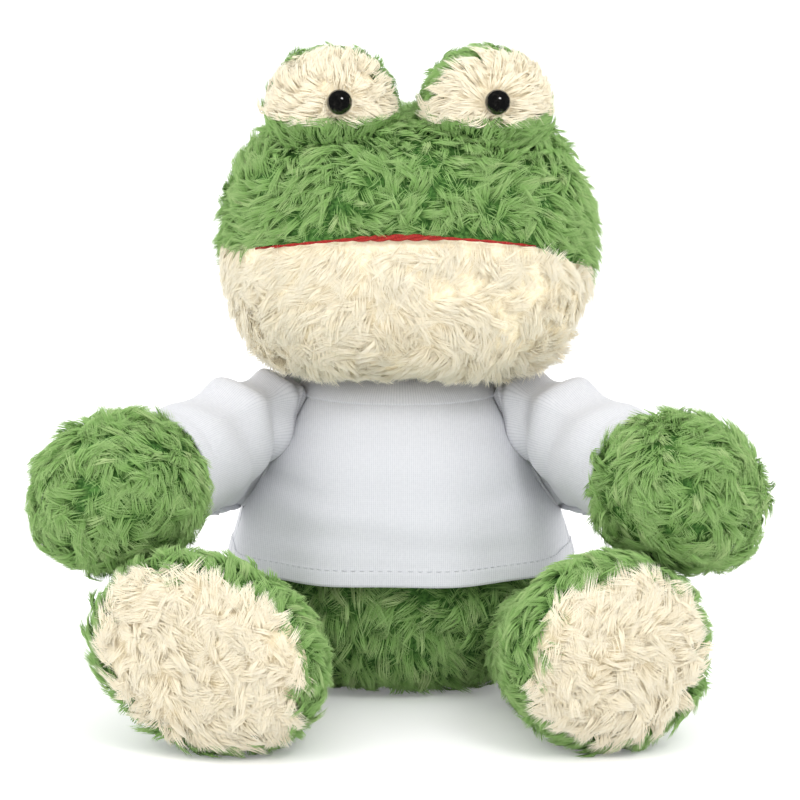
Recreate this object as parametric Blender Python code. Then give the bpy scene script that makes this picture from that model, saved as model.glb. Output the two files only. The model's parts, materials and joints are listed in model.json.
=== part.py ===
# Plush frog in a raglan T-shirt, sitting with its paws on its legs.
# Metres, +Z up, the frog faces -Y and sits on Z = 0. Left and right are the frog's own.

import math

import bmesh
import bpy
import numpy as np
from mathutils import Matrix, Vector

# Sewing and stuffing
sewing_gap = 0.0003
plush_thickness = 0.006
floor_press = 0.0005
cut_overrun = 0.02
cutter_reach = 0.2
reading_steps = 8
round_squareness = 2.0
swing_shares = (0.0, 0.5, 1.0)
smooth_edge_deg = 40.0

# Torso
seat_setback = 0.0346
torso_width = 0.098
torso_depth = 0.086
torso_height = 0.0997
torso_squareness = 2.15
torso_around = 24
torso_rows_shares = (
    (0.00, 0.56, 0.56),
    (0.035, 0.81, 0.81),
    (0.10, 0.94, 0.94),
    (0.20, 1.00, 1.00),
    (0.34, 0.99, 0.99),
    (0.50, 0.94, 0.93),
    (0.65, 0.86, 0.84),
    (0.80, 0.735, 0.73),
    (1.00, 0.51, 0.54),
)

# Bag of granulate in the seat
bean_bag_width = 0.058
bean_bag_depth = 0.050
bean_bag_height = 0.018
bean_bag_around = 14
bean_bag_levels = 6

# Head
head_width = 0.118
head_depth = 0.096
head_height = 0.080
head_side_shift = 0.0025
head_lean = 0.0065
head_squareness = 2.4
head_around = 26
head_rows_shares = (
    (0.00, 0.66, 0.70),
    (0.06, 0.83, 0.865),
    (0.16, 0.91, 0.945),
    (0.29, 0.965, 0.985),
    (0.44, 0.996, 1.00),
    (0.58, 0.995, 0.992),
    (0.70, 0.96, 0.95),
    (0.82, 0.895, 0.87),
    (0.92, 0.785, 0.735),
    (0.98, 0.56, 0.49),
    (1.00, 0.26, 0.22),
)

# Mouth: an arched seam between the green head and the cream chin, with a red cord in it
mouth_height = 0.0462
mouth_arch = 0.0050
mouth_tilt = 0.0010
mouth_most_drop_share = 2.0
mouth_half_length = 0.043
mouth_side_shift = -0.0058
mouth_fold_depth = 0.0032
mouth_fold_height = 0.0050
mouth_cord_radius = 0.0010
mouth_cord_points = 21
chin_side_seam = 0.004
arch_points = 17

# Eye mounds
mound_width = 0.0412
mound_depth = 0.0380
mound_height = 0.0392
mound_around = 14
mound_levels = 8
mound_lift = 0.0015
mound_setback = -0.0180
mound_spread = {"left": 0.0235, "right": -0.0232}
mound_seam_turn_deg = {"left": 16.0, "right": -3.0}
mound_seam_tilt_deg = 9.0
mound_seam_setback = 0.0015

# Safety eyes: a dome on a ridged shank, held inside by a toothed washer
eye_diameter = 0.0075
eye_dome_height = 0.0042
eye_rim_height = 0.0008
eye_press = 0.0014
eye_turn_deg = {"left": 10.0, "right": 8.5}
eye_lift_deg = 13.0
shank_radius = 0.0011
shank_ridge = 0.0003
shank_length = 0.0125
shank_ridges = 3
washer_radius = 0.0042
washer_thickness = 0.0010
washer_teeth = 6
slit_sides = 4
eye_around = 12
eye_rings = 4

# Root of an arm, leg or sleeve: rings of a ball, by their angle back from its widest ring
root_ball_deg = (69.0, 46.0, 23.0)

# Arms
arm_length = {"left": 0.1030, "right": 0.1036}
paw_width = 0.0545
paw_height = 0.0495
arm_root_radius = 0.0120
arm_root_outset = 0.004
arm_around = 13
shoulder_drop = 0.0182
shoulder_bearing_deg = 14.0
arm_bearing_deg = {"left": 52.5, "right": 52.5}
arm_pitch_deg = -6.9
arm_lift_deg = 24.0
arm_rows_shares = (
    (0.00, 0.44, 0.47),
    (0.20, 0.475, 0.505),
    (0.37, 0.52, 0.55),
    (0.46, 0.62, 0.64),
    (0.57, 0.84, 0.84),
    (0.70, 1.00, 1.00),
    (0.83, 0.94, 0.94),
    (0.93, 0.68, 0.68),
    (0.99, 0.29, 0.29),
)

# Legs, with a cream sole each
leg_length = {"left": 0.0780, "right": 0.0780}
foot_width = {"left": 0.0650, "right": 0.0775}
foot_height = {"left": 0.0620, "right": 0.0600}
foot_twist_deg = {"left": 4.0, "right": 24.0}
leg_root_radius = 0.0180
leg_root_outset = 0.0075
leg_around = 15
hip_height_share = 0.20
hip_bearing_deg = 40.0
leg_bearing_deg = {"left": 71.5, "right": 76.0}
leg_drop_deg = 28.0
sole_shares = {"left": 0.84, "right": 0.89}
sole_side_shift = 0.0028
sole_depth = 0.013
sole_around = 15
leg_rows_shares = (
    (0.00, 0.50, 0.58),
    (0.25, 0.60, 0.67),
    (0.50, 0.765, 0.82),
    (0.74, 0.93, 0.96),
    (0.87, 1.00, 1.00),
    (0.955, 0.955, 0.955),
    (1.000, 0.77, 0.77),
    (1.020, 0.36, 0.36),
)

# T-shirt
cloth_thickness = 0.0010
shirt_neck_ease = 0.0022
shirt_hem_ease = 0.0060
shirt_length = 0.0605
shirt_neck_drop = 0.0006
shirt_around = 28
shirt_levels = 7
hem_wave_depth = 0.0011
hem_waves = 9
sleeve_root_ease = 0.0046
sleeve_cuff_ease = 0.0026
sleeve_length = 0.044
sleeve_around = 14
sleeve_levels = 6
sleeve_fold_depth = 0.0008
sleeve_folds = 3
neckband_height = 0.0068
raglan_neck_half = 0.0285
armpit_half = 0.0490
armpit_drop = 0.0370
underarm_run = 0.014

# Colours of the cloth and plastic, as linear red, green, blue
green_plush = (0.155, 0.365, 0.098)
cream_plush = (0.87, 0.78, 0.60)
red_cord = (0.66, 0.012, 0.012)
black_plastic = (0.006, 0.006, 0.007)
grey_plastic = (0.35, 0.35, 0.35)
white_jersey = (0.80, 0.81, 0.85)
white_fibre = (0.82, 0.82, 0.80)
sack_cloth = (0.70, 0.68, 0.62)

SIDES = {"left": 1.0, "right": -1.0}


def clear_scene():
    for item in list(bpy.data.objects):
        bpy.data.objects.remove(item, do_unlink=True)


def make_material(name, colour, roughness):
    material = bpy.data.materials.new(name)
    material.use_nodes = True
    shader = material.node_tree.nodes["Principled BSDF"]
    shader.inputs["Base Color"].default_value = (*colour, 1.0)
    shader.inputs["Roughness"].default_value = roughness
    shader.inputs["Metallic"].default_value = 0.0
    material.diffuse_color = (*colour, 1.0)
    return material


def add_pivot(name, place, parent=None):
    pivot = bpy.data.objects.new(name, None)
    bpy.context.collection.objects.link(pivot)
    pivot.parent = parent
    pivot.location = place
    bpy.context.view_layer.update()
    return pivot


def add_object(name, mesh, carrier):
    item = bpy.data.objects.new(name, mesh)
    bpy.context.collection.objects.link(item)
    item.parent = carrier
    bpy.context.view_layer.update()
    return item


# Bodies lofted through rings

def smooth_rows(rows):
    """Many rows read off a Catmull-Rom curve through the given rows."""
    rows = np.array(rows, dtype=float)
    ends = np.vstack([2 * rows[0] - rows[1], rows, 2 * rows[-1] - rows[-2]])
    found = []
    for i in range(len(rows) - 1):
        before, start, stop, after = ends[i : i + 4]
        for t in np.arange(reading_steps) / reading_steps:
            bend = (2 * before - 5 * start + 4 * stop - after) * t**2
            twist = (3 * start - before - 3 * stop + after) * t**3
            found.append((2 * start + (stop - before) * t + bend + twist) / 2)
    return np.vstack([found, rows[-1]])


def loft(name, rings, carrier):
    """A closed body through rings of equal point count, each end closed by a fan to its middle."""
    levels, around = rings.shape[:2]
    bm = bmesh.new()
    grid = [[bm.verts.new(point) for point in ring] for ring in rings]
    for low, high in zip(grid, grid[1:]):
        for i in range(around):
            j = (i + 1) % around
            bm.faces.new((low[i], low[j], high[j]))
            bm.faces.new((low[i], high[j], high[i]))
    for ring, points, last in ((grid[0], rings[0], False), (grid[-1], rings[-1], True)):
        pole = bm.verts.new(points.mean(axis=0))
        for i in range(around):
            j = (i + 1) % around
            corners = (ring[i], ring[j], pole)
            bm.faces.new(corners if last else corners[::-1])
    bmesh.ops.recalc_face_normals(bm, faces=bm.faces)
    if bm.calc_volume(signed=True) < 0:
        bmesh.ops.reverse_faces(bm, faces=bm.faces)
    mesh = bpy.data.meshes.new(name)
    bm.to_mesh(mesh)
    bm.free()
    return add_object(name, mesh, carrier)


def level_rings(heights, half_widths, half_depths, around, squareness, centre=(0.0, 0.0)):
    """Level superellipse rings at the given heights about the centre."""
    angle = np.linspace(0.0, 2 * math.pi, around, endpoint=False)
    power = 2.0 / squareness
    across = np.sign(np.cos(angle)) * np.abs(np.cos(angle)) ** power
    along = np.sign(np.sin(angle)) * np.abs(np.sin(angle)) ** power
    rings = np.zeros((len(heights), around, 3))
    rings[:, :, 0] = centre[0] + np.outer(half_widths, across)
    rings[:, :, 1] = centre[1] + np.outer(half_depths, along)
    rings[:, :, 2] = np.asarray(heights)[:, None]
    return rings


def ellipsoid_rings(width, depth, height, around, levels):
    """Rings of an ellipsoid about the origin, without its poles."""
    tilt = np.linspace(-math.pi / 2, math.pi / 2, levels + 1)[1:-1]
    heights = height / 2 * np.sin(tilt)
    half_widths = width / 2 * np.cos(tilt)
    half_depths = depth / 2 * np.cos(tilt)
    return level_rings(heights, half_widths, half_depths, around, round_squareness)


def box(name, low, high, carrier):
    corners = [(x, y) for x, y in ((0, 0), (1, 0), (1, 1), (0, 1))]
    rings = np.array(
        [[(low[0], high[0])[x], (low[1], high[1])[y], z] for z in (low[2], high[2]) for x, y in corners]
    )
    return loft(name, rings.reshape(2, 4, 3), carrier)


def front_prism(name, outline, near, far, carrier):
    """An outline drawn in the front view, (x, z), run from y = near to y = far."""
    rings = np.array([[(x, y, z) for x, z in outline] for y in (near, far)])
    bm = bmesh.new()
    ends = [[bm.verts.new(point) for point in ring] for ring in rings]
    bm.faces.new(ends[0])
    bm.faces.new(ends[1][::-1])
    for i in range(len(outline)):
        j = (i + 1) % len(outline)
        bm.faces.new((ends[0][i], ends[1][i], ends[1][j], ends[0][j]))
    bmesh.ops.recalc_face_normals(bm, faces=bm.faces)
    if bm.calc_volume(signed=True) < 0:
        bmesh.ops.reverse_faces(bm, faces=bm.faces)
    mesh = bpy.data.meshes.new(name)
    bm.to_mesh(mesh)
    bm.free()
    return add_object(name, mesh, carrier)


def rod(name, radius, start, stop, sides, carrier):
    """A straight round rod between two points."""
    way = stop - start
    turn = way.to_track_quat("Z", "Y").to_matrix()
    angle = np.linspace(0.0, 2 * math.pi, sides, endpoint=False)
    ring = [turn @ Vector((radius * math.cos(a), radius * math.sin(a), 0.0)) for a in angle]
    rings = np.array([[end + point for point in ring] for end in (start, stop)])
    return loft(name, rings, carrier)


# Cutting one body by another

def bake(item):
    bpy.context.view_layer.update()
    graph = bpy.context.evaluated_depsgraph_get()
    mesh = bpy.data.meshes.new_from_object(item.evaluated_get(graph))
    item.modifiers.clear()
    item.data = mesh


def drop_crumbs(item):
    """Keeps the largest body of a cut piece, without the crumbs where two cuts nearly meet."""
    bm = bmesh.new()
    bm.from_mesh(item.data)
    left = set(bm.verts)
    bodies = []
    while left:
        front = [left.pop()]
        body = set(front)
        while front:
            near = {edge.other_vert(vert) for vert in front for edge in vert.link_edges}
            front = list(near - body)
            body |= near
        left -= body
        bodies.append(body)
    bodies.sort(key=len)
    crumbs = [vert for body in bodies[:-1] for vert in body]
    bmesh.ops.delete(bm, geom=crumbs, context="VERTS")
    bm.to_mesh(item.data)
    bm.free()


def combine(target, tool, operation):
    """Cuts or joins two closed bodies. The tool is used up."""
    step = target.modifiers.new(operation.lower(), "BOOLEAN")
    step.operation = operation
    step.solver = "MANIFOLD"
    step.object = tool
    bake(target)
    bpy.data.objects.remove(tool, do_unlink=True)
    return target


def copy_of(item, name):
    twin = add_object(name, item.data.copy(), item.parent)
    twin.matrix_local = item.matrix_local
    bpy.context.view_layer.update()
    return twin


def shell(outer, inner):
    return combine(outer, inner, "DIFFERENCE")


def finish(item, name, material):
    drop_crumbs(item)
    item.name = name
    item.data.name = name
    item.data.materials.clear()
    item.data.materials.append(material)
    item.data.shade_smooth()
    item.data.set_sharp_from_angle(angle=math.radians(smooth_edge_deg))
    return item


def press_flat(item, carrier):
    """Cuts off what the floor presses flat."""
    low = (-cutter_reach, -cutter_reach, -cutter_reach)
    high = (cutter_reach, cutter_reach, 0.0)
    return combine(item, box("floor", low, high, carrier), "DIFFERENCE")


# Torso

def torso_size_at(height):
    """Half width and half depth of the torso at a height above the floor."""
    rows = smooth_rows(torso_rows_shares)
    heights = rows[:, 0] * (torso_height + floor_press) - floor_press
    half_width = np.interp(height, heights, rows[:, 1]) * torso_width / 2
    half_depth = np.interp(height, heights, rows[:, 2]) * torso_depth / 2
    return half_width, half_depth


def torso_form(name, carrier, inset, open_neck):
    rows = np.array(torso_rows_shares)
    span = torso_height + floor_press
    foot = max(inset, 0.0)
    heights = foot - floor_press + rows[:, 0] * (span - foot)
    half_widths = rows[:, 1] * torso_width / 2 - inset
    half_depths = rows[:, 2] * torso_depth / 2 - inset
    if inset < 0:
        heights = heights + np.linspace(inset, 0.0, len(heights))
    if open_neck:
        heights = np.append(heights, torso_height + cut_overrun)
        half_widths = np.append(half_widths, half_widths[-1])
        half_depths = np.append(half_depths, half_depths[-1])
    rings = level_rings(heights, half_widths, half_depths, torso_around, torso_squareness)
    return loft(name, rings, carrier)


def build_torso(frog, plush, fibre, sack):
    skin = press_flat(torso_form("torso_outer", frog, 0.0, False), frog)
    skin = shell(skin, torso_form("torso_hollow", frog, plush_thickness, True))
    finish(skin, "torso_skin", plush)

    stuffing = torso_form("torso_fill", frog, plush_thickness + sewing_gap, False)
    lift = plush_thickness + sewing_gap
    bag = bean_bag("bean_bag", frog, 0.0, lift)
    combine(stuffing, bean_bag("bag_room", frog, sewing_gap, lift), "DIFFERENCE")
    low = (-cutter_reach, -cutter_reach, -cutter_reach)
    high = (cutter_reach, cutter_reach, lift + bean_bag_height / 2)
    under_bag = combine(
        bag_way_in("bag_way_out", frog, lift), box("below", low, high, frog), "INTERSECT"
    )
    combine(stuffing, under_bag, "DIFFERENCE")
    finish(stuffing, "torso_stuffing", fibre)
    finish(bag, "bean_bag", sack)
    return skin


def bean_bag(name, carrier, grown, lift):
    rings = ellipsoid_rings(
        bean_bag_width + 2 * grown,
        bean_bag_depth + 2 * grown,
        bean_bag_height + 2 * grown,
        bean_bag_around,
        bean_bag_levels,
    )
    rings[:, :, 2] += lift + bean_bag_height / 2
    return loft(name, rings, carrier)


def bag_way_in(name, carrier, lift):
    """The upright oval hole that the bag is put in through, before the seat is closed."""
    heights = (lift - cut_overrun, lift + bean_bag_height / 2)
    half_widths = [bean_bag_width / 2 + sewing_gap] * 2
    half_depths = [bean_bag_depth / 2 + sewing_gap] * 2
    rings = level_rings(heights, half_widths, half_depths, bean_bag_around, round_squareness)
    return loft(name, rings, carrier)


# Head

def mouth_line(x):
    """Height of the mouth seam above the neck at a distance x from the head's middle."""
    share = (x - mouth_side_shift) / mouth_half_length
    drop = mouth_arch * np.minimum(share**2, mouth_most_drop_share)
    return mouth_height - drop + mouth_tilt * np.clip(share, -1.0, 1.0)


def head_form(name, carrier, inset):
    """The head above the neck seam, drawn in along the mouth."""
    rows = np.array(head_rows_shares)
    heights = inset + rows[:, 0] * (head_height - 2 * inset)
    half_widths = rows[:, 1] * head_width / 2 - inset
    half_depths = rows[:, 2] * head_depth / 2 - inset
    centre = (head_side_shift, -head_lean)
    rings = level_rings(heights, half_widths, half_depths, head_around, head_squareness, centre)
    off_seam = (rings[:, :, 2] - mouth_line(rings[:, :, 0] - head_side_shift)) / mouth_fold_height
    facing = np.clip(-(rings[:, :, 1] - centre[1]) / (head_depth / 2), 0.0, 1.0)
    fold = mouth_fold_depth * np.exp(-(off_seam**2)) * np.sqrt(facing)
    size = np.hypot(rings[:, :, 0] - centre[0], rings[:, :, 1] - centre[1])
    for axis in (0, 1):
        rings[:, :, axis] -= fold * (rings[:, :, axis] - centre[axis]) / size
    return loft(name, rings, carrier)


def head_front(x):
    """The y of the head's surface in the mouth seam, at x from the head's middle."""
    rows = smooth_rows(head_rows_shares)
    height = mouth_line(x)
    half_width = np.interp(height, rows[:, 0] * head_height, rows[:, 1]) * head_width / 2
    half_depth = np.interp(height, rows[:, 0] * head_height, rows[:, 2]) * head_depth / 2
    share = (1 - np.abs(x / half_width) ** head_squareness) ** (1 / head_squareness)
    return -head_lean - half_depth * share


def mouth_places():
    """Points along the middle of the mouth cord, which lies in the fold and dives in at its ends."""
    share = np.linspace(-1.0, 1.0, mouth_cord_points)
    x = mouth_side_shift + mouth_half_length * share
    facing = np.clip(-head_front(x) / (head_depth / 2), 0.0, 1.0)
    sunk = mouth_fold_depth * np.sqrt(facing) + mouth_cord_radius * share**4
    return np.column_stack([x + head_side_shift, head_front(x) + sunk, mouth_line(x)])


def mouth_cord(name, carrier):
    curve = bpy.data.curves.new(name, "CURVE")
    curve.dimensions = "3D"
    curve.bevel_depth = mouth_cord_radius
    curve.bevel_resolution = 1
    curve.use_fill_caps = True
    line = curve.splines.new("POLY")
    places = mouth_places()
    line.points.add(len(places) - 1)
    for point, place in zip(line.points, places):
        point.co = (*place, 1.0)
    return add_object(name, curve, carrier)


def mouth_slot(name, carrier):
    """The room for the cord: a slot that is open to the front."""
    half = mouth_cord_radius + sewing_gap
    places = mouth_places()
    slant = np.hypot(*[np.gradient(places[:, i], places[:, 0]) for i in (1, 2)])
    reaches = half * np.hypot(1.0, slant)
    for end, near in ((0, 1), (-1, -2)):
        onward = places[end] - places[near]
        places[end] += onward * half / np.linalg.norm(onward)
    rings = []
    for (x, y, z), reach in zip(places, reaches):
        corners = ((reach, -reach), (reach, reach), (-cut_overrun, reach), (-cut_overrun, -reach))
        rings.append([(x, y + back, z + up) for back, up in corners])
    return loft(name, np.array(rings), carrier)


def chin_region(name, carrier, grown):
    """What lies below the mouth line and in front of the side seams."""
    x = np.linspace(-head_width, head_width, arch_points)
    top = [(across + head_side_shift, float(mouth_line(across)) + grown) for across in x]
    outline = [(head_width + head_side_shift, -cutter_reach), *reversed(top)]
    outline.append((-head_width + head_side_shift, -cutter_reach))
    return front_prism(name, outline, -cutter_reach, chin_side_seam + grown, carrier)


def neck_hole(name, carrier, inset, top):
    half_width, half_depth = torso_size_at(torso_height)
    reach = plush_thickness + inset
    heights = (-cut_overrun if inset <= 0 else 0.0, top)
    rings = level_rings(
        heights,
        [half_width - reach] * 2,
        [half_depth - reach] * 2,
        torso_around,
        torso_squareness,
    )
    return loft(name, rings, carrier)


def build_head(neck, plush, cream, fibre, cord_material):
    skin = shell(head_form("head_outer", neck, 0.0), head_form("head_hollow", neck, plush_thickness))
    hole_top = plush_thickness + cut_overrun
    combine(skin, neck_hole("neck_hole", neck, 0.0, hole_top), "DIFFERENCE")
    chin = copy_of(skin, "chin")
    combine(chin, chin_region("chin_side", neck, -sewing_gap / 2), "INTERSECT")
    combine(skin, chin_region("not_chin", neck, sewing_gap / 2), "DIFFERENCE")
    for item in (skin, chin):
        combine(item, mouth_slot("mouth_slot", neck), "DIFFERENCE")
    finish(skin, "head_skin", plush)
    finish(chin, "chin_skin", cream)
    cord = mouth_cord("mouth_cord", neck)
    cord.data.materials.append(cord_material)

    stuffing = head_form("head_fill", neck, plush_thickness + sewing_gap)
    plug = neck_hole("neck_plug", neck, sewing_gap, hole_top)
    combine(stuffing, plug, "UNION")
    finish(stuffing, "head_stuffing", fibre)


# Eye mounds and safety eyes

def mound_form(name, carrier, inset):
    rings = ellipsoid_rings(
        mound_width - 2 * inset,
        mound_depth - 2 * inset,
        mound_height - 2 * inset,
        mound_around,
        mound_levels,
    )
    return loft(name, rings, carrier)


def aimed(turn_deg, lift_deg):
    """The direction that faces forwards, turned to the frog's left and lifted."""
    turn = math.radians(turn_deg)
    lift = math.radians(lift_deg)
    level = math.cos(lift)
    return Vector((math.sin(turn) * level, -math.cos(turn) * level, math.sin(lift)))


def mound_reach(way, inset):
    """Distance from a mound's middle to its surface along a direction."""
    half = (mound_width / 2 - inset, mound_depth / 2 - inset, mound_height / 2 - inset)
    return 1.0 / math.sqrt(sum((part / size) ** 2 for part, size in zip(way, half)))


def front_half(name, carrier, side, grown):
    """The space in front of a mound's seam."""
    item = box(
        name,
        (-cutter_reach, -cutter_reach, -cutter_reach),
        (cutter_reach, mound_seam_setback + grown, cutter_reach),
        carrier,
    )
    turn = Matrix.Rotation(math.radians(mound_seam_turn_deg[side]), 4, "Z")
    tilt = Matrix.Rotation(math.radians(mound_seam_tilt_deg), 4, "X")
    item.matrix_local = turn @ tilt
    bpy.context.view_layer.update()
    return item


def turned_solid(name, profile, way, base, carrier):
    """A profile of (radius, height) turned about a direction, its height counted from a base point."""
    turn = way.to_track_quat("Z", "Y").to_matrix()
    angle = np.linspace(0.0, 2 * math.pi, eye_around, endpoint=False)
    rings = []
    for radius, height in profile:
        ring = [Vector((radius * math.cos(a), radius * math.sin(a), height)) for a in angle]
        rings.append([base + turn @ point for point in ring])
    return loft(name, np.array(rings), carrier)


def eye_profile():
    """From the end of the shank up to the top of the dome."""
    pitch = shank_length / (2 * shank_ridges)
    tip = shank_radius - shank_ridge
    profile = [(tip, -shank_length)]
    for i in range(shank_ridges):
        low = -shank_length + 2 * i * pitch
        profile.append((shank_radius, low + pitch / 2))
        profile.append((shank_radius + shank_ridge, low + pitch))
        profile.append((shank_radius, low + 3 * pitch / 2))
    profile.append((shank_radius, 0.0))
    profile.append((eye_diameter / 2, 0.0))
    for i in range(eye_rings):
        angle = math.pi / 2 * i / eye_rings
        height = eye_rim_height + (eye_dome_height - eye_rim_height) * math.sin(angle)
        profile.append((eye_diameter / 2 * math.cos(angle), height))
    return profile


def build_eye(mound, side, front, stuffing, black, grey):
    way = aimed(eye_turn_deg[side], eye_lift_deg)
    seat = way * (mound_reach(way, 0.0) - eye_press)
    hole_radius = shank_radius + shank_ridge + sewing_gap
    seat_radius = eye_diameter / 2 + sewing_gap
    seat_room = rod("seat_room", seat_radius, seat, way * mound_depth, eye_around, mound)
    combine(front, seat_room, "DIFFERENCE")
    shank_room = rod("shank_room", hole_radius, seat - way * mound_depth / 2, seat, eye_around, mound)
    combine(front, shank_room, "DIFFERENCE")
    eye = turned_solid("eye_" + side, eye_profile(), way, seat + way * sewing_gap, mound)
    finish(eye, "eye_" + side, black)

    inside = way * (mound_reach(way, plush_thickness) - sewing_gap)
    back = inside - way * washer_thickness
    washer = rod("washer", washer_radius, back, inside, washer_teeth * 2, mound)
    across = way.orthogonal().normalized()
    behind = back - way * cut_overrun
    before = inside + way * cut_overrun
    for i in range(washer_teeth):
        spoke = across.copy()
        spoke.rotate(Matrix.Rotation(2 * math.pi * i / washer_teeth, 3, way))
        slit_middle = spoke * (washer_radius + hole_radius) / 2
        slit = rod("slit", shank_ridge, behind + slit_middle, before + slit_middle, slit_sides, mound)
        combine(washer, slit, "DIFFERENCE")
    hole = rod("washer_hole", hole_radius, behind, before, eye_around, mound)
    combine(washer, hole, "DIFFERENCE")
    finish(washer, "eye_washer_" + side, grey)

    shank_end = seat - way * (shank_length + 2 * sewing_gap)
    deep_room = rod("deep_room", hole_radius, shank_end, way * mound_depth, eye_around, mound)
    combine(stuffing, deep_room, "DIFFERENCE")
    room_radius = washer_radius + sewing_gap
    room_back = back - way * sewing_gap
    for item, room_front in ((front, inside + way * sewing_gap), (stuffing, way * mound_depth)):
        washer_room = rod("washer_room", room_radius, room_back, room_front, washer_teeth * 2, mound)
        combine(item, washer_room, "DIFFERENCE")


def build_mound(neck, side, plush, cream, fibre, black, grey):
    place = (head_side_shift + mound_spread[side], -head_lean + mound_setback, head_height + mound_lift)
    mound = add_pivot("mound_" + side + "_middle", place, neck)
    hollow = mound_form("mound_hollow", mound, plush_thickness)
    skin = shell(mound_form("mound_outer", mound, 0.0), hollow)
    stuffing = mound_form("mound_fill", mound, plush_thickness + sewing_gap)
    for item in (skin, stuffing):
        combine(item, head_form("head_below", neck, -sewing_gap), "DIFFERENCE")
    front = copy_of(skin, "mound_front")
    combine(front, front_half("front", mound, side, -sewing_gap / 2), "INTERSECT")
    combine(skin, front_half("not_front", mound, side, sewing_gap / 2), "DIFFERENCE")
    build_eye(mound, side, front, stuffing, black, grey)
    finish(front, "eye_mound_front_" + side, cream)
    finish(skin, "eye_mound_back_" + side, plush)
    finish(stuffing, "eye_mound_stuffing_" + side, fibre)


# Arms and legs

def bearing(angle_deg, side):
    """A level direction, from sideways (0 degrees) round to straight ahead (90 degrees)."""
    angle = math.radians(angle_deg)
    return Vector((math.cos(angle) * SIDES[side], -math.sin(angle), 0.0))


def on_torso(height, angle_deg, outset, side):
    """A point so far out from the torso's surface, at a height and a bearing."""
    half_width, half_depth = torso_size_at(height)
    way = bearing(angle_deg, side)
    reach = 1.0 / math.hypot(way.x / half_width, way.y / half_depth)
    point = way * (reach + outset)
    point.z = height
    return point


def limb_form(name, carrier, limb, inset, open_root):
    """A stuffed limb: a ball at its root, then rings that swell and taper along its way."""
    rows = np.array(limb["rows"])
    last = rows[-1, 0]
    along = rows[:, 0] * (limb["length"] - max(inset, 0.0) / last)
    side_radius = rows[:, 1] * limb["width"] / 2 - inset
    up_radius = rows[:, 2] * limb["height"] / 2 - inset
    if inset < 0:
        along = along * (1 - inset / limb["length"])
    if open_root:
        along = np.insert(along, 0, -limb["root"] - cut_overrun)
        side_radius = np.insert(side_radius, 0, side_radius[0])
        up_radius = np.insert(up_radius, 0, up_radius[0])
    else:
        ball = np.radians(root_ball_deg)
        along = np.insert(along, 0, -(limb["root"] - inset) * np.sin(ball))
        side_radius = np.insert(side_radius, 0, (limb["root"] - inset) * np.cos(ball))
        up_radius = np.insert(up_radius, 0, (limb["root"] - inset) * np.cos(ball))
    way = limb["way"]
    side_way = way.cross(Vector((0.0, 0.0, 1.0))).normalized()
    up_way = side_way.cross(way).normalized()
    rings = []
    for distance, across, tall in zip(along, side_radius, up_radius):
        share = np.clip(distance / limb["length"], 0.0, 1.0)
        twist = limb["twist"] * share
        middle = way * float(distance) + Vector((0.0, 0.0, limb_lift(limb, share)))
        ring = []
        for angle in np.linspace(0.0, 2 * math.pi, limb["around"], endpoint=False):
            a = float(across) * math.cos(angle)
            b = float(tall) * math.sin(angle)
            right = a * math.cos(twist) - b * math.sin(twist)
            up = a * math.sin(twist) + b * math.cos(twist)
            ring.append(middle + side_way * right + up_way * up)
        rings.append(ring)
    return loft(name, np.array(rings), carrier)


def limb_lift(limb, share):
    """How far a limb that lies on the floor is raised there, so that its underside stays level."""
    if not limb["on_floor"]:
        return 0.0
    rows = smooth_rows(limb["rows"])
    widest = rows[:, 1].argmax()
    share = min(share, rows[widest, 0])
    across = np.interp(share, rows[: widest + 1, 0], rows[: widest + 1, 1]) * limb["width"] / 2
    tall = np.interp(share, rows[: widest + 1, 0], rows[: widest + 1, 2]) * limb["height"] / 2
    twist = limb["twist"] * share
    under = math.hypot(across * math.sin(twist), tall * math.cos(twist))
    return float(under) - limb["root"]


def clear_of_torso(item, frog, pivot, axis, swing_deg):
    """Cuts a limb so that it clears the torso at rest and all through its swing."""
    middle = pivot.matrix_world.translation
    for share in swing_shares:
        torso = torso_form("torso_room", frog, -sewing_gap, False)
        back = Matrix.Rotation(math.radians(-swing_deg * share), 4, axis)
        about_pivot = Matrix.Translation(middle) @ back @ Matrix.Translation(-middle)
        torso.matrix_world = about_pivot @ torso.matrix_world
        bpy.context.view_layer.update()
        combine(item, torso, "DIFFERENCE")


def lift_axis(way):
    """The level axis about which a limb turns upwards."""
    return Vector((way.y, -way.x, 0.0)).normalized()


def leg_shape(side):
    return {
        "rows": leg_rows_shares,
        "length": leg_length[side],
        "width": foot_width[side],
        "height": foot_height[side],
        "root": leg_root_radius,
        "around": leg_around,
        "way": bearing(leg_bearing_deg[side], side),
        "twist": -math.radians(foot_twist_deg[side]) * SIDES[side],
        "on_floor": True,
        "sole_share": sole_shares[side],
        "sole_shift": sole_side_shift * SIDES[side],
    }


def arm_shape(side):
    level = bearing(arm_bearing_deg[side], side)
    pitch = math.radians(arm_pitch_deg)
    return {
        "rows": arm_rows_shares,
        "length": arm_length[side],
        "width": paw_width,
        "height": paw_height,
        "root": arm_root_radius,
        "around": arm_around,
        "way": level * math.cos(pitch) + Vector((0.0, 0.0, math.sin(pitch))),
        "twist": 0.0,
        "on_floor": False,
    }


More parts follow.
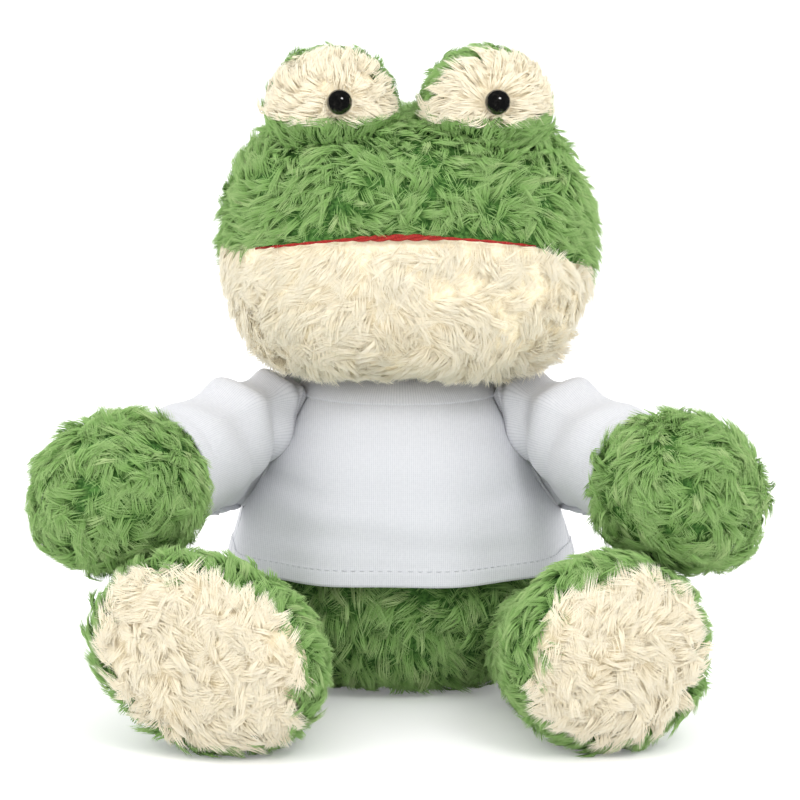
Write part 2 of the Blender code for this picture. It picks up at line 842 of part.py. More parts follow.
def sole_region(name, carrier, limb, grown):
    """The oval column that the sole panel is cut from."""
    side_way = limb["way"].cross(Vector((0.0, 0.0, 1.0))).normalized()
    up_way = side_way.cross(limb["way"])
    tip = limb["length"] * limb["rows"][-1][0]
    axis = side_way * limb["sole_shift"] + Vector((0.0, 0.0, limb_lift(limb, 1.0)))
    across = limb["width"] / 2 * limb["sole_share"] + grown
    tall = limb["height"] / 2 * limb["sole_share"] + grown
    rings = []
    for distance in (tip - sole_depth - grown, tip + cut_overrun):
        middle = limb["way"] * distance + axis
        ring = []
        for angle in np.linspace(0.0, 2 * math.pi, sole_around, endpoint=False):
            a = across * math.cos(angle)
            b = tall * math.sin(angle)
            right = a * math.cos(limb["twist"]) - b * math.sin(limb["twist"])
            up = a * math.sin(limb["twist"]) + b * math.cos(limb["twist"])
            ring.append(middle + side_way * right + up_way * up)
        rings.append(ring)
    return loft(name, np.array(rings), carrier)


def leg_pivot_place(side):
    place = on_torso(torso_height * hip_height_share, hip_bearing_deg, leg_root_outset, side)
    place.z = leg_root_radius - floor_press
    return place


def build_leg(frog, side, plush, cream, fibre):
    limb = leg_shape(side)
    hip = add_pivot("hip_" + side, leg_pivot_place(side), frog)
    axis = -lift_axis(limb["way"])
    outer = press_flat(limb_form("leg_outer", hip, limb, 0.0, False), frog)
    stuffing = copy_of(outer, "leg_fill")
    inner = limb_form("leg_inner", hip, limb, plush_thickness + sewing_gap, True)
    combine(stuffing, inner, "INTERSECT")
    skin = shell(outer, limb_form("leg_hollow", hip, limb, plush_thickness, True))
    sole = copy_of(skin, "sole")
    combine(sole, sole_region("sole_side", hip, limb, -sewing_gap / 2), "INTERSECT")
    combine(skin, sole_region("not_sole", hip, limb, sewing_gap / 2), "DIFFERENCE")
    for item in (skin, stuffing):
        clear_of_torso(item, frog, hip, axis, leg_drop_deg)
    finish(skin, "leg_skin_" + side, plush)
    finish(sole, "sole_" + side, cream)
    finish(stuffing, "leg_stuffing_" + side, fibre)


def build_arm(frog, side, plush, fibre):
    limb = arm_shape(side)
    place = on_torso(torso_height - shoulder_drop, shoulder_bearing_deg, arm_root_outset, side)
    shoulder = add_pivot("shoulder_" + side, place, frog)
    axis = lift_axis(limb["way"])
    outer = limb_form("arm_outer", shoulder, limb, 0.0, False)
    stuffing = copy_of(outer, "arm_fill")
    inner = limb_form("arm_inner", shoulder, limb, plush_thickness + sewing_gap, True)
    combine(stuffing, inner, "INTERSECT")
    skin = shell(outer, limb_form("arm_hollow", shoulder, limb, plush_thickness, True))
    for item in (skin, stuffing):
        clear_of_torso(item, frog, shoulder, axis, arm_lift_deg)
    hip = bpy.data.objects["hip_" + side]
    leg_room = limb_form("leg_room", hip, leg_shape(side), -sewing_gap, False)
    combine(skin, leg_room, "DIFFERENCE")
    finish(skin, "arm_skin_" + side, plush)
    finish(stuffing, "arm_stuffing_" + side, fibre)


# T-shirt

def shirt_body_form(name, carrier, inset, overrun):
    """The body of the shirt round the torso, wider and waved towards the hem."""
    top = torso_height - shirt_neck_drop
    heights = np.linspace(top, top - shirt_length, shirt_levels)
    share = np.linspace(0.0, 1.0, shirt_levels)
    ease = shirt_neck_ease + (shirt_hem_ease - shirt_neck_ease) * share
    sizes = [torso_size_at(height) for height in heights]
    widths = np.maximum.accumulate(np.array([size[0] for size in sizes]) + ease) - inset
    depths = np.maximum.accumulate(np.array([size[1] for size in sizes]) + ease) - inset
    if overrun:
        heights = np.concatenate([[heights[0] + overrun], heights, [heights[-1] - overrun]])
        widths = np.concatenate([[widths[0]], widths, [widths[-1]]])
        depths = np.concatenate([[depths[0]], depths, [depths[-1]]])
        share = np.concatenate([[share[0]], share, [share[-1]]])
    rings = level_rings(heights, widths, depths, shirt_around, torso_squareness)
    angle = np.arctan2(rings[:, :, 1], rings[:, :, 0])
    wave = hem_wave_depth * np.cos(hem_waves * angle + share[:, None]) * share[:, None] ** 2
    size = np.hypot(rings[:, :, 0], rings[:, :, 1])
    for axis in (0, 1):
        rings[:, :, axis] *= 1 + wave / size
    return loft(name, rings, carrier)


def sleeve_form(name, frog, side, inset, overrun):
    """The sleeve round the arm, closed by a ball at its root, with soft folds on its underside."""
    limb = arm_shape(side)
    along = np.linspace(0.0, sleeve_length, sleeve_levels)
    share = along / sleeve_length
    rows = smooth_rows(limb["rows"])
    arm_width = np.interp(along / limb["length"], rows[:, 0], rows[:, 1]) * limb["width"] / 2
    ease = sleeve_root_ease + (sleeve_cuff_ease - sleeve_root_ease) * share + cloth_thickness
    radius = arm_width + ease - inset
    ball = np.radians(root_ball_deg)
    along = np.concatenate([-radius[0] * np.sin(ball), along])
    share = np.concatenate([np.zeros(len(ball)), share])
    radius = np.concatenate([radius[0] * np.cos(ball), radius])
    if overrun:
        along = np.append(along, along[-1] + overrun)
        radius = np.append(radius, radius[-1])
        share = np.append(share, share[-1])
    side_way = limb["way"].cross(Vector((0.0, 0.0, 1.0))).normalized()
    up_way = side_way.cross(limb["way"]).normalized()
    base = bpy.data.objects["shoulder_" + side].location
    rings = []
    for distance, size, place in zip(along, radius, share):
        ring = []
        for angle in np.linspace(0.0, 2 * math.pi, sleeve_around, endpoint=False):
            under = max(-math.sin(angle), 0.0)
            fold = sleeve_fold_depth * under * math.sin(2 * math.pi * sleeve_folds * place)
            reach = float(size) + fold
            spoke = side_way * reach * math.cos(angle) + up_way * reach * math.sin(angle)
            ring.append(base + limb["way"] * float(distance) + spoke)
        rings.append(ring)
    return loft(name, np.array(rings), frog)


def sleeve_region(name, carrier, side, grown):
    """What lies outside the raglan seam and above the underarm, drawn in the front view."""
    way = SIDES[side]
    top = torso_height - shirt_neck_drop - neckband_height
    raglan = (
        (raglan_neck_half - grown, cutter_reach),
        (raglan_neck_half - grown, top),
        (armpit_half - grown, torso_height - armpit_drop - grown),
        (armpit_half + underarm_run - grown, torso_height - armpit_drop - underarm_run - grown),
        (cutter_reach, torso_height - armpit_drop - underarm_run - grown),
        (cutter_reach, cutter_reach),
    )
    outline = [(x * way, z) for x, z in raglan]
    return front_prism(name, outline, -cutter_reach, cutter_reach, carrier)


def build_shirt(frog, jersey):
    cloth = shirt_body_form("shirt_outer", frog, 0.0, 0.0)
    hollow = shirt_body_form("shirt_hollow", frog, cloth_thickness, cut_overrun)
    for side in SIDES:
        combine(cloth, sleeve_form("sleeve_outer", frog, side, 0.0, 0.0), "UNION")
        combine(hollow, sleeve_form("sleeve_hollow", frog, side, cloth_thickness, cut_overrun), "UNION")
    shell(cloth, hollow)
    for side in SIDES:
        hip = bpy.data.objects["hip_" + side]
        combine(cloth, limb_form("leg_room", hip, leg_shape(side), -sewing_gap, False), "DIFFERENCE")

    reach = cutter_reach
    half_gap = sewing_gap / 2
    band_low = torso_height - shirt_neck_drop - neckband_height
    band = shirt_body_form("neckband", frog, 0.0, 0.0)
    shell(band, shirt_body_form("neckband_hollow", frog, cloth_thickness, cut_overrun))
    above = box("above", (-reach, -reach, band_low + half_gap), (reach, reach, reach), frog)
    combine(band, above, "INTERSECT")
    finish(band, "shirt_neckband", jersey)
    band_room = shirt_body_form("band_room", frog, -sewing_gap, cut_overrun)
    above = box("above", (-reach, -reach, band_low - half_gap), (reach, reach, reach), frog)
    combine(band_room, above, "INTERSECT")
    combine(cloth, band_room, "DIFFERENCE")

    for side in SIDES:
        sleeve = copy_of(cloth, "sleeve")
        combine(sleeve, sleeve_region("sleeve_side", frog, side, -half_gap), "INTERSECT")
        finish(sleeve, "shirt_sleeve_" + side, jersey)
        combine(cloth, sleeve_region("not_sleeve", frog, side, half_gap), "DIFFERENCE")

    back = copy_of(cloth, "back")
    behind = box("behind", (-reach, half_gap, -reach), (reach, reach, reach), frog)
    combine(back, behind, "INTERSECT")
    finish(back, "shirt_back", jersey)
    behind = box("behind", (-reach, -half_gap, -reach), (reach, reach, reach), frog)
    combine(cloth, behind, "DIFFERENCE")
    finish(cloth, "shirt_front", jersey)


def build_frog():
    clear_scene()
    green = make_material("green_plush", green_plush, 0.95)
    cream = make_material("cream_plush", cream_plush, 0.95)
    red = make_material("red_cord", red_cord, 0.7)
    black = make_material("black_plastic", black_plastic, 0.08)
    grey = make_material("grey_plastic", grey_plastic, 0.4)
    jersey = make_material("white_jersey", white_jersey, 0.85)
    fibre = make_material("white_fibre", white_fibre, 0.9)
    sack = make_material("sack_cloth", sack_cloth, 0.85)

    frog = add_pivot("frog", (0.0, seat_setback, 0.0))
    neck = add_pivot("neck", (0.0, 0.0, torso_height + sewing_gap), frog)
    build_torso(frog, green, fibre, sack)
    build_head(neck, green, cream, fibre, red)
    for side in SIDES:
        build_mound(neck, side, green, cream, fibre, black, grey)
    for side in SIDES:
        build_leg(frog, side, green, cream, fibre)
    for side in SIDES:
        build_arm(frog, side, green, fibre)
    build_shirt(frog, jersey)


build_frog()
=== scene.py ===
import json
import math

import bpy
import numpy as np
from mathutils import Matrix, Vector


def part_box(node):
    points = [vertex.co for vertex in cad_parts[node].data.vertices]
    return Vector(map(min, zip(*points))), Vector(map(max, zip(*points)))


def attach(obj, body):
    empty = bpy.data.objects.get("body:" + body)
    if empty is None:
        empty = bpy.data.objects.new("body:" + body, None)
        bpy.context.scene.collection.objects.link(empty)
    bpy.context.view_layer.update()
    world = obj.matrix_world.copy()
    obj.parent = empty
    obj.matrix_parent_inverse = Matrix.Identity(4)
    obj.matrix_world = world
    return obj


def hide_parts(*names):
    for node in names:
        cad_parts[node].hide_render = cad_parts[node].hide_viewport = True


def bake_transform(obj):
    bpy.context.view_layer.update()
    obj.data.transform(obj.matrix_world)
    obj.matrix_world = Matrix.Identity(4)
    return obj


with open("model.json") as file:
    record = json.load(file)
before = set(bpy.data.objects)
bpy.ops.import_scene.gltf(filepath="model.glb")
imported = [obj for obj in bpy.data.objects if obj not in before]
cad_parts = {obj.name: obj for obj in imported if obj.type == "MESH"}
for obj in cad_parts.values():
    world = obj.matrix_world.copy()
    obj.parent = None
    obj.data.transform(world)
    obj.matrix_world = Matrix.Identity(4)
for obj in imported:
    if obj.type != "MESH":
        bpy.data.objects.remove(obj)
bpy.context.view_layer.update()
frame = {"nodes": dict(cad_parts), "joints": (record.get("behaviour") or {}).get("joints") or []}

tau = 2 * math.pi
mm = 0.001


def linearColour(text):
    # "#rrggbb" as linear red, green, blue and a full alpha
    shares = np.array([int(text[i : i + 2], 16) for i in (1, 3, 5)]) / 255
    linear = np.where(shares <= 0.04045, shares / 12.92, ((shares + 0.055) / 1.055) ** 2.4)
    return (*linear.tolist(), 1.0)


def unit(vectors):
    return vectors / np.maximum(np.linalg.norm(vectors, axis=-1, keepdims=True), 1e-12)


def squareTo(vectors, way):
    # what is left of each vector without its share along a way
    return vectors - (vectors @ way)[..., None] * way


def spokesAt(turn, first, second):
    # the directions at each turn, from the first one towards the second
    return np.cos(turn)[..., None] * first + np.sin(turn)[..., None] * second


def turnedWay(turnDeg, liftDeg):
    # straight ahead, turned to the frog's left and then lifted
    turn, lift = math.radians(turnDeg), math.radians(liftDeg)
    return np.array([math.sin(turn) * math.cos(lift), -math.cos(turn) * math.cos(lift), math.sin(lift)])


def bell(values, middle, width):
    # 1 at the middle, and less on both sides as a bell curve of that width
    return np.exp(-(((values - middle) / width) ** 2))


def lengthAlong(line):
    return np.concatenate([[0], np.cumsum(np.linalg.norm(np.diff(line, axis=0), axis=1))])


# meshes from whole arrays

def buildMesh(name, places, faceSets, material, smooth=True):
    # faceSets holds arrays of corner numbers, one array for triangles and one for quads
    corners = np.concatenate([faces.ravel() for faces in faceSets]).astype(np.int32)
    sizes = np.concatenate([np.full(len(faces), faces.shape[1]) for faces in faceSets])
    mesh = bpy.data.meshes.new(name)
    mesh.vertices.add(len(places))
    mesh.vertices.foreach_set("co", np.ascontiguousarray(places, np.float32).ravel())
    mesh.loops.add(len(corners))
    mesh.loops.foreach_set("vertex_index", corners)
    mesh.polygons.add(len(sizes))
    mesh.polygons.foreach_set("loop_start", (np.cumsum(sizes) - sizes).astype(np.int32))
    mesh.update(calc_edges=True)
    if smooth:
        mesh.shade_smooth()
    mesh.materials.append(material)
    piece = bpy.data.objects.new(name, mesh)
    bpy.context.scene.collection.objects.link(piece)
    return piece


def setUv(piece, name, values):
    layer = piece.data.uv_layers.new(name=name)
    layer.data.foreach_set("uv", np.ascontiguousarray(values, np.float32).ravel())


def ringedSurface(name, rings, material):
    # closed surface through rings (levels x around x 3), each end drawn together to one point
    levels, around = rings.shape[:2]
    step = np.arange(around)
    ahead = (step + 1) % around
    base = np.arange(levels - 1)[:, None] * around
    quads = np.stack([base + step, base + around + step, base + around + ahead, base + ahead], -1)
    quads = quads.reshape(-1, 4)
    first = levels * around
    last = first + 1
    head = np.stack([np.full(around, first), step, ahead], -1)
    tail = np.stack([np.full(around, last), ahead + base[-1] + around, step + base[-1] + around], -1)
    places = np.concatenate([rings.reshape(-1, 3), [rings[0].mean(0), rings[-1].mean(0)]])
    a, b, c, d = (places[quads[:, i]] for i in range(4))
    volume = np.einsum("ni,ni->n", a, np.cross(b, c) + np.cross(c, d)).sum()
    if volume < 0:
        quads, head, tail = quads[:, ::-1], head[:, ::-1], tail[:, ::-1]
    return buildMesh(name, places, [quads, np.concatenate([head, tail])], material)


def turnedSurface(name, profile, base, way, around, material):
    # a profile of (radius, height) turned about the direction way, heights counted from base
    way = unit(np.array(way, float))
    side = unit(np.cross(way, (0.0, 0.0, 1.0)))
    spokes = spokesAt(np.linspace(0, tau, around, endpoint=False), side, np.cross(side, way))
    profile = np.array(profile)
    rings = base + profile[:, 1, None, None] * way + profile[:, 0, None, None] * spokes
    return ringedSurface(name, rings, material)


def clothGrid(name, grid, pattern, material, thickness, wrap=False, outward=(0.0, 0.0, 0.0)):
    # open sheet (rows x columns x 3) given its thickness inwards; pattern is the flat place of each
    # point in metres (rows x columns + 1 where the sheet wraps round)
    rows, columns = grid.shape[:2]
    shown = columns if wrap else columns - 1
    down, across = np.meshgrid(np.arange(rows - 1), np.arange(shown), indexing="ij")
    corners = ((0, 0), (1, 0), (1, 1), (0, 1))
    quads = np.stack([(down + i) * columns + (across + j) % columns for i, j in corners], -1).reshape(-1, 4)
    flat = np.stack([pattern[down + i, across + j] for i, j in corners], 2).reshape(-1, 4, 2)
    places = grid.reshape(-1, 3)
    a, b, d = (places[quads[:, i]] for i in (0, 1, 3))
    facing = np.einsum("ni,ni->n", np.cross(b - a, d - a), a - np.array(outward)).sum()
    if facing < 0:
        quads, flat = quads[:, ::-1], flat[:, ::-1]
    piece = buildMesh(name, places, [quads], material)
    setUv(piece, "cloth", flat)
    wall = piece.modifiers.new("thickness", "SOLIDIFY")
    wall.thickness = thickness
    wall.offset = -1.0
    return piece


# forms read from the frame: the reach of a body's skin from its middle, in every direction

mapRows = 49
mapColumns = 96


def gridWays(rows, columns):
    # directions on a grid from straight up (first row) to straight down (last row)
    down = np.linspace(0, math.pi, rows)[:, None]
    turn = np.linspace(0, tau, columns, endpoint=False)[None, :]
    return np.stack([np.sin(down) * np.cos(turn), np.sin(down) * np.sin(turn), np.cos(down) + 0 * turn], -1)


def nodeTriangles(names):
    parts = []
    for name in names:
        mesh = frame["nodes"][name].data
        mesh.calc_loop_triangles()
        places = np.empty(len(mesh.vertices) * 3, np.float32)
        mesh.vertices.foreach_get("co", places)
        corners = np.empty(len(mesh.loop_triangles) * 3, np.int32)
        mesh.loop_triangles.foreach_get("vertices", corners)
        parts.append(places.reshape(-1, 3)[corners.reshape(-1, 3)])
    return np.concatenate(parts).astype(float)


def outerPoints(names, middle):
    # points spread over the triangles that face away from the middle, with the area of each
    corners = nodeTriangles(names)
    shares = np.array([(i + 1 / 3, j + 1 / 3) for i in range(4) for j in range(4 - i)]) / 4
    shares = np.column_stack([shares, 1 - shares.sum(1)])
    points = np.einsum("tcx,sc->tsx", corners, shares)
    normal = np.cross(corners[:, 1] - corners[:, 0], corners[:, 2] - corners[:, 0])
    area = np.linalg.norm(normal, axis=1)
    facing = np.einsum("tsx,tx->ts", unit(points - middle), unit(normal))
    keep = facing > 0.3
    return points[keep], np.broadcast_to(area[:, None], facing.shape)[keep]


def readForm(middle, names, blurDeg=6.5):
    # reach = mean distance of the outer points round a direction, weighted by a bell of blurDeg
    middle = np.array(middle, float)
    points, area = outerPoints(names, middle)
    reach = np.linalg.norm(points - middle, axis=1)
    ways = (points - middle) / reach[:, None]
    grid = gridWays(mapRows, mapColumns).reshape(-1, 3)
    narrow = 1 / math.radians(blurDeg) ** 2
    wide = 1 / math.radians(30) ** 2
    found = np.empty(len(grid))
    for start in range(0, len(grid), 512):
        nearness = grid[start : start + 512] @ ways.T - 1
        weight = area * (np.exp(narrow * nearness) + 1e-7 * np.exp(wide * nearness))
        found[start : start + 512] = (weight * reach).sum(1) / weight.sum(1)
    return {"middle": middle, "reach": found.reshape(mapRows, mapColumns)}


def reachAt(form, ways):
    # reads the map between its four nearest grid points
    turn = (np.arctan2(ways[..., 1], ways[..., 0]) / tau * mapColumns) % mapColumns
    down = np.arccos(np.clip(ways[..., 2], -1, 1)) / math.pi * (mapRows - 1)
    column = np.floor(turn).astype(int)
    row = np.minimum(np.floor(down).astype(int), mapRows - 2)
    s, t = turn - column, down - row
    column, beside = column % mapColumns, (column + 1) % mapColumns
    high = form["reach"][row, column] * (1 - s) + form["reach"][row, beside] * s
    low = form["reach"][row + 1, column] * (1 - s) + form["reach"][row + 1, beside] * s
    return high * (1 - t) + low * t


def surfaceAt(form, ways, raised=0.0):
    return form["middle"] + ways * (reachAt(form, ways) + raised)[..., None]


def acrossWays(ways):
    # two directions square to each way and to each other
    first = unit(np.cross(ways, np.where(np.abs(ways[..., 2:]) < 0.9, (0.0, 0.0, 1.0), (1.0, 0.0, 0.0))))
    return first, np.cross(ways, first)


def normalAt(form, ways):
    # square to two short steps along the surface
    first, second = acrossWays(ways)
    step = 0.04
    a = surfaceAt(form, unit(ways + step * first)) - surfaceAt(form, unit(ways - step * first))
    b = surfaceAt(form, unit(ways + step * second)) - surfaceAt(form, unit(ways - step * second))
    normal = unit(np.cross(a, b))
    return normal * np.sign(np.einsum("...i,...i", normal, ways))[..., None]


# shaders

def fillInputs(tree, node, inputs):
    # an input takes a plain value, or a link where it is given another node's socket
    for key, value in inputs.items():
        if isinstance(value, bpy.types.NodeSocket):
            tree.links.new(value, node.inputs[key])
        else:
            node.inputs[key].default_value = value


def addNode(tree, kind, inputs, **settings):
    node = tree.nodes.new("ShaderNode" + kind)
    for key, value in settings.items():
        setattr(node, key, value)
    fillInputs(tree, node, inputs)
    return node


def newMaterial(name):
    material = bpy.data.materials.new(name)
    material.use_nodes = True
    return material, material.node_tree, material.node_tree.nodes["Principled BSDF"]


def newGroup(name, inputs, outputs):
    # a node group with its sockets; returns it, what it is given and where its results go
    group = bpy.data.node_groups.new(name, "ShaderNodeTree")
    for label, kind in inputs.items():
        group.interface.new_socket(label, in_out="INPUT", socket_type="NodeSocket" + kind)
    for label, kind in outputs.items():
        group.interface.new_socket(label, in_out="OUTPUT", socket_type="NodeSocket" + kind)
    return group, group.nodes.new("NodeGroupInput").outputs, group.nodes.new("NodeGroupOutput").inputs


def mixColours(tree, share, first, second, blend="MIX"):
    # a colour is given as text or as the socket that makes it
    first, second = (linearColour(value) if isinstance(value, str) else value for value in (first, second))
    mix = addNode(tree, "Mix", {0: share, 6: first, 7: second}, data_type="RGBA", blend_type=blend)
    return mix.outputs[2]


def rampValue(tree, value, low, high, least=0.0, most=1.0):
    inputs = {"Value": value, "From Min": low, "From Max": high, "To Min": least, "To Max": most}
    return addNode(tree, "MapRange", inputs, interpolation_type="SMOOTHSTEP").outputs["Result"]


def addNoise(tree, scale, detail, place=None):
    # noise over the piece's own coordinates, or over the place given
    place = place or addNode(tree, "TexCoord", {}).outputs["Object"]
    return addNode(tree, "TexNoise", {"Vector": place, "Scale": scale, "Detail": detail}).outputs["Fac"]


def addBump(tree, height, distance, strength):
    inputs = {"Height": height, "Distance": distance, "Strength": strength}
    return addNode(tree, "Bump", inputs).outputs["Normal"]


def makePileGroup():
    # colour of a pile fibre: dark at its root, which is painted shade deep in the pile, paler at its tip,
    # which is painted light, and each lock a little unlike the next
    names = ("Root", "Middle", "Tip", "PaleAndLit")
    sockets = dict({"Fibre": "Vector"}, **{name: "Color" for name in names})
    group, given, result = newGroup("pile colour", sockets, {"Colour": "Color"})
    root, middle, tip, paleAndLit = (given[name] for name in names)
    fibre = addNode(group, "SeparateXYZ", {0: given["Fibre"]}).outputs
    tone, along = fibre["X"], fibre["Y"]
    colour = mixColours(group, rampValue(group, along, 0.02, 0.5), root, middle)
    colour = mixColours(group, rampValue(group, along, 0.45, 1.0), colour, tip)
    # a high tone turns a fibre paler: paler locks at random, and painted light on the middle of each lock,
    # whose tone is raised
    colour = mixColours(group, rampValue(group, tone, 0.62, 1.0, 0.0, 0.75), colour, paleAndLit)
    # a low tone turns a fibre darker: painted shade on the undercoat, whose tone is low, and darker locks at
    # random
    deep = rampValue(group, tone, 0.0, 0.42, 0.84, 1.0)
    shade = addNode(group, "CombineColor", {0: deep, 1: deep, 2: deep}).outputs[0]
    group.links.new(mixColours(group, 1.0, colour, shade, "MULTIPLY"), result["Colour"])
    return group


def makeKnitGroup():
    # jersey: upright ribs of loops, each loop a small bow across its rib
    group, given, result = newGroup(
        "jersey knit", {"Place": "Vector", "Rib": "Float"}, {"Height": "Float", "Shade": "Float"}
    )

    def maths(kind, *values):
        return addNode(group, "Math", dict(enumerate(values)), operation=kind).outputs[0]

    place = addNode(group, "SeparateXYZ", {0: given["Place"]}).outputs
    across = maths("MULTIPLY", maths("DIVIDE", place["X"], given["Rib"]), tau)
    rib = maths("ABSOLUTE", maths("SINE", maths("MULTIPLY", across, 0.5)))
    course = maths("MULTIPLY", maths("DIVIDE", place["Y"], given["Rib"]), tau * 1.3)
    loop = maths("SINE", maths("ADD", course, maths("MULTIPLY", rib, 2.4)))
    height = maths("ADD", maths("MULTIPLY", rib, 0.8), maths("MULTIPLY", loop, 0.12))
    for name in ("Height", "Shade"):
        group.links.new(height, result[name])
    return group


pileGroup = makePileGroup()
knitGroup = makeKnitGroup()

# root colours are darker as painted shade deep in the pile, tip colours paler as painted light; the last
# colour of each is for paler locks at random and for painted light on the middle of each lock
pileColours = {
    "green": {"Root": "#527C38", "Middle": "#84AC60", "Tip": "#A6C781", "PaleAndLit": "#BCD094"},
    "cream": {"Root": "#F7E9CB", "Middle": "#FFF4D8", "Tip": "#FFF9E6", "PaleAndLit": "#FFFBF0"},
}
pileFinish = {"Roughness": 0.8, "Sheen Weight": 0.4, "Sheen Roughness": 0.5, "Specular IOR Level": 0.25}
backingFinish = {"Roughness": 0.95, "Specular IOR Level": 0.2}
jersey = {
    "thread": "#CDCED3", "gap": "#B9BBC1", "slub": "#DADBDF", "slubScale": 900.0, "slubShare": 0.25,
    "rib": 0.72 * mm, "bump": 0.08 * mm, "bumpStrength": 0.6,
}
jerseyFinish = {"Roughness": 0.9, "Sheen Weight": 0.2, "Specular IOR Level": 0.3}
haze = {"scale": 700.0, "tint": "#2B2926", "roughness": 0.12, "bump": 0.01 * mm, "coatRoughness": 0.04}
yarn = {"dark": "#86150F", "pale": "#B3261C", "scale": 2600.0, "bump": 0.05 * mm, "roughness": 0.75}


def makePile(name, colours):
    material, tree, shader = newMaterial(name)
    inputs = {key: linearColour(value) for key, value in colours.items()}
    inputs["Fibre"] = addNode(tree, "UVMap", {}, uv_map="OFBake").outputs["UV"]
    tone = addNode(tree, "Group", inputs, node_tree=pileGroup).outputs["Colour"]
    fillInputs(tree, shader, dict(pileFinish, **{"Base Color": tone, "Sheen Tint": tone}))
    return material


def makeBacking(name, first, second, scale, depth):
    # woven ground of the plush, or stuffing: a fine mottle
    material, tree, shader = newMaterial(name)
    mottle = addNoise(tree, scale, 4.0)
    colour = mixColours(tree, rampValue(tree, mottle, 0.35, 0.65), first, second)
    normal = addBump(tree, mottle, depth, 0.8)
    fillInputs(tree, shader, dict(backingFinish, **{"Base Color": colour, "Normal": normal}))
    return material


def makeJersey(name):
    material, tree, shader = newMaterial(name)
    place = addNode(tree, "UVMap", {}, uv_map="cloth").outputs["UV"]
    knit = addNode(tree, "Group", {"Rib": jersey["rib"], "Place": place}, node_tree=knitGroup).outputs
    colour = mixColours(tree, rampValue(tree, knit["Shade"], -0.1, 0.7), jersey["gap"], jersey["thread"])
    cloud = addNoise(tree, jersey["slubScale"], 2.0, place)
    slub = rampValue(tree, cloud, 0.3, 0.75, 0.0, jersey["slubShare"])
    colour = mixColours(tree, slub, colour, jersey["slub"])
    normal = addBump(tree, knit["Height"], jersey["bump"], jersey["bumpStrength"])
    fillInputs(tree, shader, dict(jerseyFinish, **{"Base Color": colour, "Normal": normal}))
    return material


def makePlastic(name, colour, roughness, coat, mirror):
    # moulded plastic with a faint haze of handling marks
    material, tree, shader = newMaterial(name)
    marks = addNoise(tree, haze["scale"], 3.0)
    tint = rampValue(tree, marks, 0.45, 0.8, 0.0, 0.5)
    fillInputs(tree, shader, {
        "Base Color": mixColours(tree, tint, colour, haze["tint"]),
        "Roughness": rampValue(tree, marks, 0.4, 0.8, roughness, roughness + haze["roughness"]),
        "Normal": addBump(tree, marks, haze["bump"], 0.2),
        "Specular IOR Level": mirror, "Coat Weight": coat, "Coat Roughness": haze["coatRoughness"],
    })
    return material


def makeCord(name):
    # dyed yarn, mottled by its fibres
    material, tree, shader = newMaterial(name)
    fibres = addNoise(tree, yarn["scale"], 2.0)
    colour = mixColours(tree, rampValue(tree, fibres, 0.3, 0.7), yarn["dark"], yarn["pale"])
    normal = addBump(tree, fibres, yarn["bump"], 1.0)
    fillInputs(tree, shader, {"Base Color": colour, "Normal": normal, "Roughness": yarn["roughness"]})
    return material


greenPile = makePile("green pile", pileColours["green"])
creamPile = makePile("cream pile", pileColours["cream"])
# the grounds under the pile are darker than its strands: painted shade where the pile parts
greenBacking = makeBacking("green backing", "#305424", "#54803E", 900.0, 0.3 * mm)
creamBacking = makeBacking("cream backing", "#EADDBD", "#F5EAD0", 900.0, 0.3 * mm)
fibreFill = makeBacking("polyester fibre", "#D8D8D4", "#F2F2EF", 260.0, 0.6 * mm)
sackCloth = makeBacking("granulate sack", "#A8A293", "#CFC9BA", 1400.0, 0.2 * mm)
whiteJersey = makeJersey("white jersey")
blackPlastic = makePlastic("black plastic", "#040404", 0.07, 0.8, 0.4)
greyPlastic = makePlastic("grey plastic", "#8C8C8C", 0.38, 0.0, 0.5)
redCord = makeCord("red cord")
print("materials made")


def dress(piece, body, *replaced):
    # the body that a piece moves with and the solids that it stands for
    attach(piece, body)
    if replaced:
        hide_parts(*replaced)
    return piece


# forms of the furred bodies

joints = {joint["name"]: joint for joint in frame["joints"]}
sides = {"left": 1.0, "right": -1.0}


def pivotOf(joint):
    return np.array(joints[joint]["pos_m"], float)


seatY, neckZ = (float(value) for value in pivotOf("head_turn")[1:])


def nodesMiddle(names, share=0.5):
    boxes = [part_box(name) for name in names]
    low = np.min([np.array(b[0]) for b in boxes], 0)
    high = np.max([np.array(b[1]) for b in boxes], 0)
    return low + (high - low) * np.array([0.5, 0.5, share])


def readPaw(side):
    # the ball at the arm's end: the outer skin past half the arm's length, about its own middle
    name = "arm_skin_" + side
    corners = nodeTriangles([name]).reshape(-1, 3)
    away = np.linalg.norm(corners - pivotOf("arm_lift_" + side), axis=1)
    end = corners[away > 0.55 * away.max()]
    form = readForm((end.min(0) + end.max(0)) / 2, [name], 9.0)
    form["reach"] = np.minimum(form["reach"], 1.04 * np.median(form["reach"]))
    return form


headSkins = ["head_skin", "chin_skin"]
forms = {"head": readForm(nodesMiddle(headSkins), headSkins)}
forms["torso"] = readForm(nodesMiddle(["torso_skin"], 0.45), ["torso_skin"])
for side in sides:
    mound = ["eye_mound_front_" + side, "eye_mound_back_" + side]
    leg = ["leg_skin_" + side, "sole_" + side]
    forms["mound_" + side] = readForm(nodesMiddle(mound, 0.42), mound, 11.0)
    forms["leg_" + side] = readForm(nodesMiddle(leg), leg)
    forms["paw_" + side] = readPaw(side)
print("forms read")

# mouth: an arch across the head, with the cream chin below it

mouth = {
    "height": 46.2 * mm, "arch": 5.0 * mm, "halfLength": 45.5 * mm, "shift": -2.0 * mm, "tilt": 1.0 * mm,
    "mostDrop": 2.0, "climb": 9 * mm, "sink": 16 * mm, "chinBack": 4 * mm, "parting": 0.7 * mm,
    "clear": 0.2 * mm, "front": 8 * mm, "sunk": 1.2 * mm, "endSunk": 2.4 * mm, "strand": 0.6 * mm,
    "lay": 11 * mm,
}


